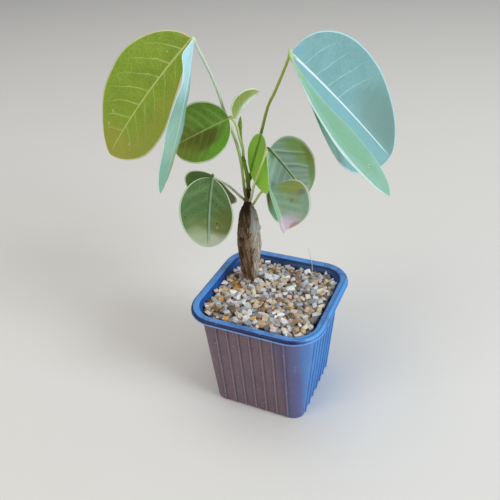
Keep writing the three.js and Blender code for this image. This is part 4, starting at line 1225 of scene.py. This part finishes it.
# How each leaflet is coloured.
# upper and lower: the colours of the base, a second tone, the tip and the veins, the
# strengths of the veins and the network, then the midrib's colour and strength.
# margin and shine: colour and width. rib: the midrib's half width.
# swell: how strongly the veins' colour spreads beside them.
# sides: the veins' strength on the left and the right half.
# fade: the shares of the length where the veins end and where they begin to fade.
# patches: places as shares of the length and the half width, two radii, colour, strength.
# dots: places as such shares, radius, colour, strength.
# lines: points across and along, width, colour, strength and the share of the half width
# where they end.
LOOKS = {
    "leaf_1_leaflet_left": dict(
        upper=("8AA822", "7C9C1C", "8FA62A", "D3DE88", 0.55, 0.15, "D6E08A", 0.85),
        lower=("8FBFA0", "A3CDB2", "97C4A4", "D3E8CF", 0.3, 0.08, "D9ECD6", 0.7),
        margin=("E6E8B4", 0.65), sides=(1.0, 0.7),
        patches=[(0.6, 0.75, 0.4, 0.4, "9A9A3C", 0.5), (0.015, -0.75, 0.03, 0.25, "D0A050", 0.6),
                 (0.23, 0.98, 0.1, 0.14, "A08A40", 0.6), (0.93, 0.1, 0.17, 1.2, "AAA23C", 0.6)],
        dots=[(0.73, -0.55, 1.1, "D3DEA8", 0.45), (0.82, -0.60, 1.2, "D3DEA8", 0.45),
              (0.79, 0.46, 1.0, "D3DEA8", 0.35), (0.17, -0.3, 0.9, "D3DEA8", 0.3),
              (0.16, -0.75, 0.8, "D3DEA8", 0.3)]),
    "leaf_1_leaflet_right": dict(
        upper=("7FA648", "6F983E", "7FA648", "C9DB9C", 0.3, 0.1, "CFE0A4", 0.7),
        lower=("80ACA0", "89B3A6", "84B29C", "D3E8E2", 0.1, 0.05, "D8EEEA", 0.4),
        margin=("DDF3EC", 0.6),
        # The first patch, pale cyan across the base, is painted light: the cool light from the
        # right
        patches=[(0.1, -0.3, 0.26, 1.3, "B8E6F0", 0.9), (0.78, 0.75, 0.12, 0.45, "B9A868", 0.6),
                 (0.6, -0.3, 0.16, 1.0, "A9CDBB", 0.5)]),
    "leaf_2_leaflet_back": dict(
        upper=("8FB86A", "82AD5E", "93BC6E", "CFE0A8", 0.35, 0.1, "D6E8B4", 0.7),
        lower=("7CA8AC", "84B0B4", "7FA8A4", "C4E2E4", 0.42, 0.1, "E6FAFF", 1.0),
        margin=("C4EAF0", 0.7), rib=0.78, sides=(1.0, 0.0), fade=(0.62, 0.45),
        # The fourth patch, pale cyan at the margin, is painted light that lifts the front leaflet's
        # cast shadow
        patches=[(0.03, -0.3, 0.035, 0.25, "7CAECB", 0.6), (0.75, -0.55, 0.25, 0.55, "7A9A94", 0.7),
                 (0.55, 0.35, 0.6, 0.4, "80B6BC", 0.6), (0.42, 1.0, 0.17, 0.25, "C8FFFA", 0.9),
                 (0.3, 1.0, 0.05, 0.1, "8A9A50", 0.7)]),
    "leaf_2_leaflet_front": dict(
        upper=("76A63B", "679735", "7FB046", "C7DC92", 0.3, 0.1, "CFE0A4", 0.7),
        lower=("86B8A6", "8EC0AC", "90BCAC", "CDE8DA", 0.06, 0.06, "CDE8DC", 0.3),
        margin=("C8EADA", 0.6),
        patches=[(0.52, -0.4, 0.4, 0.55, "82B28E", 0.75), (0.05, -0.3, 0.11, 1.0, "9CBC70", 0.8),
                 (0.6, 0.88, 0.75, 0.42, "DDF6F0", 0.85)],
        dots=[(0.79, -0.5, 0.5, "F2FFF6", 0.8), (0.8, -0.36, 0.4, "F2FFF6", 0.8),
              (0.83, -0.42, 0.4, "F2FFF6", 0.6), (0.25, -0.3, 0.6, "C8E8D8", 0.6)]),
    "leaf_3_leaflet_left": dict(
        upper=("6E9A26", "669224", "7C9630", "C9D88A", 0.32, 0.14, "B5C96A", 0.85),
        lower=("8FB79A", "A2C8AB", "8FB79A", "CFE3C8", 0.3, 0.08, "CFE3C8", 0.6),
        margin=("E6EED0", 0.75), swell=0.12,
        # The two dark olive patches are a painted shadow cast by another leaflet; the two bright
        # green patches near the base are painted light shining through the blade
        patches=[(0.5, 0.25, 0.3, 0.38, "62601C", 0.75), (0.3, 0.3, 0.14, 0.25, "62601C", 0.4),
                 (0.2, 0.85, 0.28, 0.3, "7DB838", 0.8), (0.1, 0.65, 0.16, 0.3, "74AA30", 0.6),
                 (0.75, 0.55, 0.22, 0.35, "86982A", 0.6), (0.8, -0.1, 0.25, 0.5, "756F20", 0.55)]),
    "leaf_3_leaflet_right": dict(
        upper=("8FA656", "98AC5E", "9EB068", "D3DCA8", 0.15, 0.1, "D3DCA8", 0.6),
        lower=("CFE0C4", "D6E6CC", "D9E8D2", "E6F0DC", 0.15, 0.06, "E6F0DC", 0.5),
        margin=("E3ECD2", 0.6),
        patches=[(0.5, 0.75, 0.5, 0.4, "84903E", 0.65), (0.55, -0.25, 0.62, 0.55, "E6ECE8", 1.0)]),
    "leaf_4_leaflet_front": dict(
        upper=("50753F", "496B33", "758652", "AEC092", 0.14, 0.12, "4A6730", 0.65),
        lower=("8FB39C", "9CC0A8", "8FB39C", "CFE3C8", 0.3, 0.08, "CFE3C8", 0.6),
        margin=("D6E2C8", 0.7), swell=0.1, shine=("93B49A", 0.9),
        patches=[(0.6, 0.7, 0.28, 0.5, "606A26", 0.8), (0.66, 0.0, 0.16, 0.9, "728248", 0.6),
                 (0.42, -0.3, 0.18, 0.6, "4C6C36", 0.5), (0.95, 0.0, 0.2, 1.6, "C2CCB4", 0.9),
                 (0.8, -0.4, 0.14, 0.6, "A2B08A", 0.65)],
        dots=[(0.55, -0.81, 0.5, "3E4420", 0.85), (0.62, 0.39, 0.55, "2E3418", 0.95),
              (0.64, 0.5, 0.35, "2E3418", 0.8), (0.68, 0.42, 1.0, "B9C48A", 0.4)]),
    "leaf_4_leaflet_back": dict(
        upper=("44700A", "3E6606", "626A14", "80A044", 0.14, 0.08, "80A044", 0.5),
        lower=("325400", "2E5400", "424A06", "708E3C", 0.14, 0.06, "708E3C", 0.5),
        margin=("CFE0A4", 0.75),
        patches=[(0.27, 0.75, 0.16, 0.5, "3C6408", 0.6), (0.45, -0.8, 0.35, 0.4, "666606", 0.85),
                 (0.27, -1.0, 0.2, 0.14, "6E2C16", 0.95)]),
    "leaf_5_leaflet_left": dict(
        upper=("8FC24A", "97CB52", "8FC24A", "C7E292", 0.3, 0.1, "C7E292", 0.6),
        lower=("A2DE40", "AAE648", "9AD43C", "C6E488", 0.12, 0.1, "BCDD78", 0.6),
        margin=("CDE89A", 0.5),
        # The dark line is a painted shadow of the second leaf's stalk behind the blade, seen
        # through it
        lines=[([(14.7, 3.2), (10.8, 7.0), (7.4, 11.9), (3.9, 16.7)], 1.5, "5E8A1A", 0.8, 2.0)],
        patches=[(0.1, 0.3, 0.2, 0.7, "9CCB5A", 0.5)]),
    "leaf_5_leaflet_right": dict(
        upper=("90B6A6", "9ABEAC", "86A878", "D8E8DA", 0.5, 0.16, "4A7828", 0.95),
        lower=("8FB39C", "9CC0A8", "8FB39C", "CFE3C8", 0.3, 0.08, "CFE3C8", 0.6),
        margin=("EAF2DA", 0.9), swell=0.2, shine=("D6E4BE", 0.6), sides=(1.0, 0.3),
        patches=[(0.36, 0.75, 0.32, 0.34, "94B642", 0.75), (0.74, 0.85, 0.3, 0.3, "7E9A38", 0.8),
                 (0.5, 0.95, 0.2, 0.22, "96902C", 0.8), (0.05, -0.12, 0.06, 0.22, "5E8E34", 0.6)],
        lines=[([(1.0, 1.6), (8.8, 15.0), (13.3, 22.3)], 0.45, "DCE8D6", 0.6, 0.95),
               ([(1.0, 13.6), (6.2, 22.3), (9.6, 29.9)], 0.45, "DCE8D6", 0.6, 0.95),
               ([(1.6, 4.6), (8.6, 16.6), (13.0, 24.0)], 0.6, "6E8C66", 0.4, 0.95),
               ([(1.6, 16.6), (6.0, 24.0), (9.2, 31.4)], 0.6, "6E8C66", 0.4, 0.95)]),
    "leaf_6_leaflet_front": dict(
        upper=("7EA090", "86A286", "94A090", "C4D4B0", 0.2, 0.14, "CDE0C2", 0.6),
        lower=("9CC8AC", "A6CFB4", "9A8C84", "D2E3CC", 0.2, 0.08, "D2E3CC", 0.6),
        margin=("E4ECD8", 0.75), swell=0.15,
        patches=[(0.15, 0.75, 0.17, 0.5, "989C40", 0.8), (0.35, -0.45, 0.5, 0.5, "94C6A2", 0.75),
                 (0.32, 0.8, 0.06, 0.11, "74545A", 0.5), (0.42, 0.48, 0.045, 0.06, "7A5A50", 0.55),
                 (0.36, 0.6, 0.16, 0.22, "8C8650", 0.4), (0.5, 0.1, 0.12, 0.2, "A49488", 0.35),
                 (1.0, -0.15, 0.34, 1.1, "D6C0D0", 0.95),
                 (0.93, 0.62, 0.07, 0.28, "B87E62", 0.6)]),
    "leaf_6_leaflet_back": dict(
        upper=("88AE80", "92B68C", "A0C098", "C4D592", 0.12, 0.1, "C4D592", 0.5),
        lower=("76A888", "80B090", "8AB498", "D8E8D0", 0.12, 0.1, "CFE3C8", 0.5),
        margin=("D9E8CC", 0.6),
        patches=[(0.3, 0.4, 0.14, 0.4, "8E9444", 0.75), (0.15, 0.65, 0.11, 0.35, "6E4418", 0.9)]),
}

# The young leaf's middle line
YOUNG_PATH = [(-15.5, 7.4, 129.6), (-14.9, 7.1, 134.7), (-15.1, 5.7, 140.2),
              (-15.2, 5, 144.4), (-14.9, 4.8, 148), (-14.4, 4.9, 151.9)]


def young_leaf_surface():
    """Two leaflets pressed together: an oval section carried up the path, wide and thin
    above the stalk, with a crease down each broad face. Each point also gets its share of
    the length."""
    line, at = smooth_line(YOUNG_PATH, 90)
    share = at / at[-1]
    width = np.interp(share, [0, 0.4, 0.52, 0.66, 0.8, 0.93, 1],
                      [0.42, 0.38, 0.6, 1.0, 1.15, 0.7, 0.08])
    depth = np.interp(share, [0, 0.4, 0.6, 0.8, 1], [0.42, 0.38, 0.5, 0.55, 0.08])
    sides = 28
    angle = np.linspace(0, 2 * np.pi, sides, endpoint=False)
    crease = 1 - 0.32 * np.exp(-(np.cos(angle) / 0.28) ** 2)
    crease = 1 + (crease - 1)[None] * smoothstep(share, 0.45, 0.6)[:, None]
    x = line[:, :1] + width[:, None] * np.cos(angle)
    y = line[:, 1:2] + depth[:, None] * np.sin(angle) * crease
    z = np.broadcast_to(line[:, 2:], x.shape)
    values = {"along": np.concatenate([np.repeat(share, sides), [0, 1]])}
    return skin(np.stack([x, y, z], -1)), values


# Settings that a user may change


class SennaPotSettings(bpy.types.PropertyGroup):
    """Sizes and colours of the pot."""
    rim_width: bpy.props.FloatProperty(
        name="Rim width", description="Width of the square rim", default=0.070, min=0.02,
        unit="LENGTH")
    height: bpy.props.FloatProperty(
        name="Height", description="Height of the pot", default=0.062, min=0.02, unit="LENGTH")
    lip_inner: bpy.props.FloatProperty(
        name="Opening", description="Width between the inner edges of the lip", default=0.061,
        min=0.02, unit="LENGTH")
    colour: bpy.props.FloatVectorProperty(
        name="Colour", description="Blue of the plastic", default=srgb("4490E2")[:3],
        subtype="COLOR", min=0, max=1)
    deep_colour: bpy.props.FloatVectorProperty(
        name="Deep colour", description="Darker blue of the plastic", default=srgb("3168BE")[:3],
        subtype="COLOR", min=0, max=1)
    dust_colour: bpy.props.FloatVectorProperty(
        name="Dust", description="Dried dust on the outside", default=srgb("775955")[:3],
        subtype="COLOR", min=0, max=1)


class SennaGravelSettings(bpy.types.PropertyGroup):
    """Number and size of the stones."""
    stones: bpy.props.IntProperty(
        name="Stones", description="Stones in the top dressing", default=620, min=1)
    grit: bpy.props.IntProperty(
        name="Grit", description="Small grains between the stones", default=500, min=1)
    size: bpy.props.FloatProperty(
        name="Stone size", description="Mean half size of a stone", default=0.0018,
        min=0.0002, unit="LENGTH")
    bed: bpy.props.FloatProperty(
        name="Bed height", description="Height of the bed under the stones", default=0.0532,
        unit="LENGTH")


class SennaLeafSettings(bpy.types.PropertyGroup):
    """Thickness and waviness of the leaflets."""
    thickness: bpy.props.FloatProperty(
        name="Thickness", description="Thickness of a blade", default=0.00036, min=0.0001,
        unit="LENGTH")
    wave: bpy.props.FloatProperty(
        name="Margin wave", description="How far the margin waves", default=0.00025,
        min=0, unit="LENGTH")


class SennaStageSettings(bpy.types.PropertyGroup):
    """Floor, light and camera."""
    floor_colour: bpy.props.FloatVectorProperty(
        name="Floor", description="Colour of the floor", default=srgb("ECEAE6")[:3],
        subtype="COLOR", min=0, max=1)
    key_power: bpy.props.FloatProperty(
        name="Key light", description="Power of the cool key light from the right",
        default=15.5, min=0, unit="POWER")
    warm_power: bpy.props.FloatProperty(
        name="Warm light", description="Power of the warm light from the front left",
        default=7.5, min=0, unit="POWER")
    top_power: bpy.props.FloatProperty(
        name="Top light", description="Power of the soft light from above", default=8.0,
        min=0, unit="POWER")


# Operators


class SENNA_OT_pot(bpy.types.Operator):
    """Make the ribbed plastic pot"""
    bl_idname = "senna.pot"
    bl_label = "Pot"

    def execute(self, context):
        settings = context.scene.senna_pot
        surface = pot_surface(settings.rim_width / MM, settings.height / MM,
                              settings.lip_inner / MM)
        pot = make_piece("square_pot", surface, plastic_finish(settings), ["pot"],
                         sharp=38)
        tools = [cutter(pillar(x, y, DRAIN_HOLE / 2, -2, FLOOR + 2))
                 for x in (-DRAIN_OFFSET, DRAIN_OFFSET) for y in (-DRAIN_OFFSET, DRAIN_OFFSET)]
        reach = BASE_WIDTH / 2
        for side in (-reach, reach):
            tools.append(cutter(block((0, side, 0), (SLIT_WIDTH, 3, 2 * SLIT_HEIGHT))))
            tools.append(cutter(block((side, 0, 0), (3, SLIT_WIDTH, 2 * SLIT_HEIGHT))))
        cut_away(pot, tools)
        return {"FINISHED"}


class SENNA_OT_mix(bpy.types.Operator):
    """Give the potting mix its finish"""
    bl_idname = "senna.mix"
    bl_label = "Potting mix"

    def execute(self, context):
        node = next(o for o in context.scene.objects if o.get("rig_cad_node") == "potting_mix")
        finish = soil_finish()
        for slot in node.material_slots:
            slot.material = finish
        return {"FINISHED"}


class SENNA_OT_gravel(bpy.types.Operator):
    """Make the gravel top dressing: a bed, settled stones and grit"""
    bl_idname = "senna.gravel"
    bl_label = "Gravel"

    def execute(self, context):
        surface, values = gravel_surface(context.scene.senna_gravel)
        make_piece("gravel_stones", surface, gravel_finish(), ["gravel_top_dressing"],
                   values, sharp=44)
        return {"FINISHED"}


class SENNA_OT_caudex(bpy.types.Operator):
    """Make the swollen stem base with its bark"""
    bl_idname = "senna.caudex"
    bl_label = "Caudex"

    def execute(self, context):
        rows, sides = 300, 260
        rings, groove, flake = caudex_rings(rows, sides)
        values = {"groove": np.concatenate([groove.ravel(), [0, 0]]),
                  "flake": np.concatenate([flake.ravel(), [0, 0]])}
        make_piece("caudex_bark", skin(rings), bark_finish(), ["caudex"], values)
        return {"FINISHED"}


def stalk_values(steps, sides):
    """For each point of a tube, its share of the length."""
    share = np.repeat(np.linspace(0, 1, steps), sides)
    return {"along": np.concatenate([share, [0.0, 1.0]])}


# How far up the stem its rings are, in millimetres
STEM_JOINTS = (1.2, 6.5, 11.5, 22.6)


class SENNA_OT_stem(bpy.types.Operator):
    """Make the short green stem"""
    bl_idname = "senna.stem"
    bl_label = "Stem"

    def execute(self, context):
        def radius(at, share):
            joints = sum(np.exp(-((at - place) / 0.9) ** 2) for place in STEM_JOINTS)
            return STEM_RADIUS * (1.0 - 0.2 * share) + 0.28 * joints

        steps, sides = 160, 28
        surface = tube(STEM_PATH, radius, steps, sides, wobble=0.12)
        make_piece("green_stem", surface, stalk_finish(
            "stem_green", "566C0C", "86AE2C", "33200F", 0.3, 0.42), ["stem"],
            stalk_values(steps, sides))
        return {"FINISHED"}


# Each stalk's lower and upper colour and the dull one of its foot
STALK_COLOURS = {
    "leaf_1_stalk": ("A8BC54", "CEDCC8", "5C4E20"), "leaf_2_stalk": ("9DB03C", "B4C04E", "6A6A2C"),
    "leaf_3_stalk": ("A8C468", "C0D890", "6E6A34"), "leaf_4_stalk": ("CCD0A8", "D8E2C0", "7A6A48"),
    "leaf_5_stalk": ("D2DCB0", "CBE07E", "B8B8A0"), "leaf_6_stalk": ("BCC280", "BEC886", "B8B8A0"),
}


class SENNA_OT_stalks(bpy.types.Operator):
    """Make the six leaf stalks, swollen at both ends"""
    bl_idname = "senna.stalks"
    bl_label = "Leaf stalks"

    def execute(self, context):
        steps, sides = 110, 18
        for number, (name, (thick, knots)) in enumerate(STALKS.items()):
            def radius(at, share):
                foot = np.exp(-(at / 1.6) ** 2)
                top = np.exp(-((at[-1] - at) / 1.3) ** 2)
                return thick * (1.2 - 0.2 * share + 0.45 * foot + 0.5 * top)

            surface = tube(knots, radius, steps, sides, wobble=0.14, seed=number)
            low, high, scar = STALK_COLOURS[name]
            make_piece(name.replace("leaf", "green_leaf"), surface,
                       stalk_finish(name + "_green", low, high, scar), [name],
                       stalk_values(steps, sides))
        return {"FINISHED"}


class SENNA_OT_leaflets(bpy.types.Operator):
    """Make the twelve leaflets"""
    bl_idname = "senna.leaflets"
    bl_label = "Leaflets"

    def execute(self, context):
        settings = context.scene.senna_leaf
        for name, spec in LEAFLETS.items():
            node, midrib, (blade, values, uv) = leaflet_surface(
                spec, settings.thickness / MM, settings.wave / MM)
            # A stalklet bends from the leaf's node over to the blade's base and a little in
            base = midrib[0]
            inner = bezier(midrib, np.array([0.05]))[0][0]
            start = node + (base - node) * 0.1
            top = (start + base) / 2 + np.array([0, 0, spec.get("knee", 0.5)])
            thick = spec.get("stalklet", 0.72)
            steps, sides = 20, 16
            stalklet = tube([start, top, base, inner],
                            lambda at, share: thick * (1 - 0.5 * share ** 2), steps, sides)
            count = len(stalklet[0])
            # The stalklet is coloured as the upper side of the midrib's base
            as_base = {"along": 0.0, "across": 0.0, "upper": 1.0, "edge": 9.0}
            values = {key: np.concatenate([numbers, np.full(count, as_base[key])])
                      for key, numbers in values.items()}
            uv = np.concatenate([uv, np.full((count, 2), (0.5, 0.0))])
            make_piece(name.replace("leaflet", "blade"), joined([blade, stalklet]),
                       leaf_finish(name + "_green", spec, LOOKS[name]), [name],
                       values, uv)
        return {"FINISHED"}


class SENNA_OT_young_leaf(bpy.types.Operator):
    """Make the young folded leaf"""
    bl_idname = "senna.young_leaf"
    bl_label = "Young leaf"

    def execute(self, context):
        surface, values = young_leaf_surface()
        make_piece("folded_young_leaf", surface, stalk_finish(
            "young_leaf_green", "869E3C", "8CAC40", "6B5A3A"), ["young_leaf"],
            values)
        return {"FINISHED"}


# The straw's middle line
STRAW_PATH = [(13.0, 26.6, 55.5), (13.3, 26.8, 60.5), (12.9, 27.2, 65.0), (11.8, 27.6, 69.0),
              (10.6, 28.2, 73.0)]


class SENNA_OT_straw(bpy.types.Operator):
    """Make the thin dry straw that stands in the gravel"""
    bl_idname = "senna.straw"
    bl_label = "Dry straw"

    def execute(self, context):
        steps, sides = 40, 8
        surface = tube(STRAW_PATH, lambda at, share: 0.27 - 0.13 * share, steps, sides)
        make_piece("dry_straw", surface, stalk_finish(
            "dry_straw", "C6BABC", "D2C8D0", "8A7A66"), values=stalk_values(steps, sides))
        return {"FINISHED"}


# The photograph's camera: metres, unit vectors to its right, up and ahead, and the focal
# length and the picture's width in pixels
CAMERA_PLACE = (0.09275, -0.21950, 0.23712)
CAMERA_AXES = ((0.91499, 0.40096, -0.04505), (-0.17912, 0.50371, 0.84510),
               (-0.36154, 0.76518, -0.53271))
CAMERA_FOCUS = 569.09
PICTURE_WIDTH = 500
SENSOR_WIDTH = 36.0
FLOOR_REACH = 6.0


class SENNA_OT_stage(bpy.types.Operator):
    """Make the pale floor, the soft lights and the camera"""
    bl_idname = "senna.stage"
    bl_label = "Stage"

    def execute(self, context):
        settings = context.scene.senna_stage
        mesh = bpy.data.meshes.new("floor")
        signs = ((-1, -1), (1, -1), (1, 1), (-1, 1))
        mesh.from_pydata([(i * FLOOR_REACH, j * FLOOR_REACH, 0) for i, j in signs], [],
                         [(0, 1, 2, 3)])
        f = Finish("pale_floor")
        soft = f.noise(f.place(), 0.01, 3.0)
        tone = (*settings.floor_colour, 1.0)
        mesh.materials.append(f.close(
            f.mix(soft * 0.12, tone, srgb("D4D1CA")), 0.85, None,
            {"Specular IOR Level": 0.2}))
        floor = bpy.data.objects.new("floor", mesh)
        context.scene.collection.objects.link(floor)

        # Each light faces the plant's middle: name, place, width, power and colour
        middle = np.array([-0.005, 0.01, 0.09])
        lights = [
            ("key", (1.40, -0.20, 0.80), 0.75, settings.key_power, (0.88, 0.95, 1.0)),
            ("warm", (-0.75, -1.25, 0.90), 1.1, settings.warm_power, (1.0, 0.91, 0.80)),
            ("top", (-0.10, 0.20, 1.8), 1.4, settings.top_power, (1.0, 0.97, 0.93))]
        for name, spot, width, power, tint in lights:
            data = bpy.data.lights.new(name, "AREA")
            data.shape, data.size, data.energy, data.color = "DISK", width, power, tint
            lamp = bpy.data.objects.new(name, data)
            back = unit(np.array(spot) - middle)
            right = unit(np.cross((0, 0, 1), back))
            up = np.cross(back, right)
            lamp.matrix_world = Matrix.Translation(spot) @ Matrix(
                np.stack([right, up, back], 1).tolist()).to_4x4()
            context.scene.collection.objects.link(lamp)

        world = bpy.data.worlds.new("studio")
        world.use_nodes = True
        sky = world.node_tree.nodes["Background"]
        sky.inputs["Color"].default_value = srgb("EEF1F5")
        sky.inputs["Strength"].default_value = 0.34
        context.scene.world = world
        context.scene.view_settings.view_transform = "Standard"

        lens = bpy.data.cameras.new("camera")
        lens.sensor_width = SENSOR_WIDTH
        lens.lens = CAMERA_FOCUS / PICTURE_WIDTH * SENSOR_WIDTH
        lens.clip_start, lens.clip_end = 0.01, 20.0
        camera = bpy.data.objects.new("camera", lens)
        right, up, forward = (np.array(v) for v in CAMERA_AXES)
        turn = Matrix(np.stack([right, up, -forward], 1).tolist()).to_4x4()
        camera.matrix_world = Matrix.Translation(CAMERA_PLACE) @ turn
        context.scene.collection.objects.link(camera)
        context.scene.camera = camera
        return {"FINISHED"}


OPERATORS = (
    SENNA_OT_pot, SENNA_OT_mix, SENNA_OT_gravel, SENNA_OT_caudex, SENNA_OT_stem,
    SENNA_OT_stalks, SENNA_OT_leaflets, SENNA_OT_young_leaf, SENNA_OT_straw, SENNA_OT_stage)
SETTINGS = {
    "senna_pot": SennaPotSettings, "senna_gravel": SennaGravelSettings,
    "senna_leaf": SennaLeafSettings, "senna_stage": SennaStageSettings}


class SENNA_PT_panel(bpy.types.Panel):
    """Lists the pieces and their settings"""
    bl_idname = "SENNA_PT_panel"
    bl_label = "Potted senna"
    bl_space_type = "VIEW_3D"
    bl_region_type = "UI"
    bl_category = "Senna"

    def draw(self, context):
        for operator in OPERATORS:
            self.layout.operator(operator.bl_idname)
        for key, group in SETTINGS.items():
            box = self.layout.box()
            for name in group.__annotations__:
                box.prop(getattr(context.scene, key), name)


def register():
    """Adds the classes to Blender and the settings to its scenes."""
    for group in (*SETTINGS.values(), *OPERATORS, SENNA_PT_panel):
        bpy.utils.register_class(group)
    for key, group in SETTINGS.items():
        setattr(bpy.types.Scene, key, bpy.props.PointerProperty(type=group))


def unregister():
    """Takes out what register adds."""
    for key in SETTINGS:
        delattr(bpy.types.Scene, key)
    for group in reversed((*SETTINGS.values(), *OPERATORS, SENNA_PT_panel)):
        bpy.utils.unregister_class(group)


def main():
    """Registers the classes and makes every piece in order."""
    register()
    for step in ("stage", "pot", "mix", "gravel", "caudex", "stem", "stalks", "leaflets",
                 "young_leaf", "straw"):
        result = getattr(bpy.ops.senna, step)()
        if result != {"FINISHED"}:
            raise RuntimeError(f"{step} did not finish")
    bpy.context.view_layer.update()


if __name__ == "__main__":
    main()
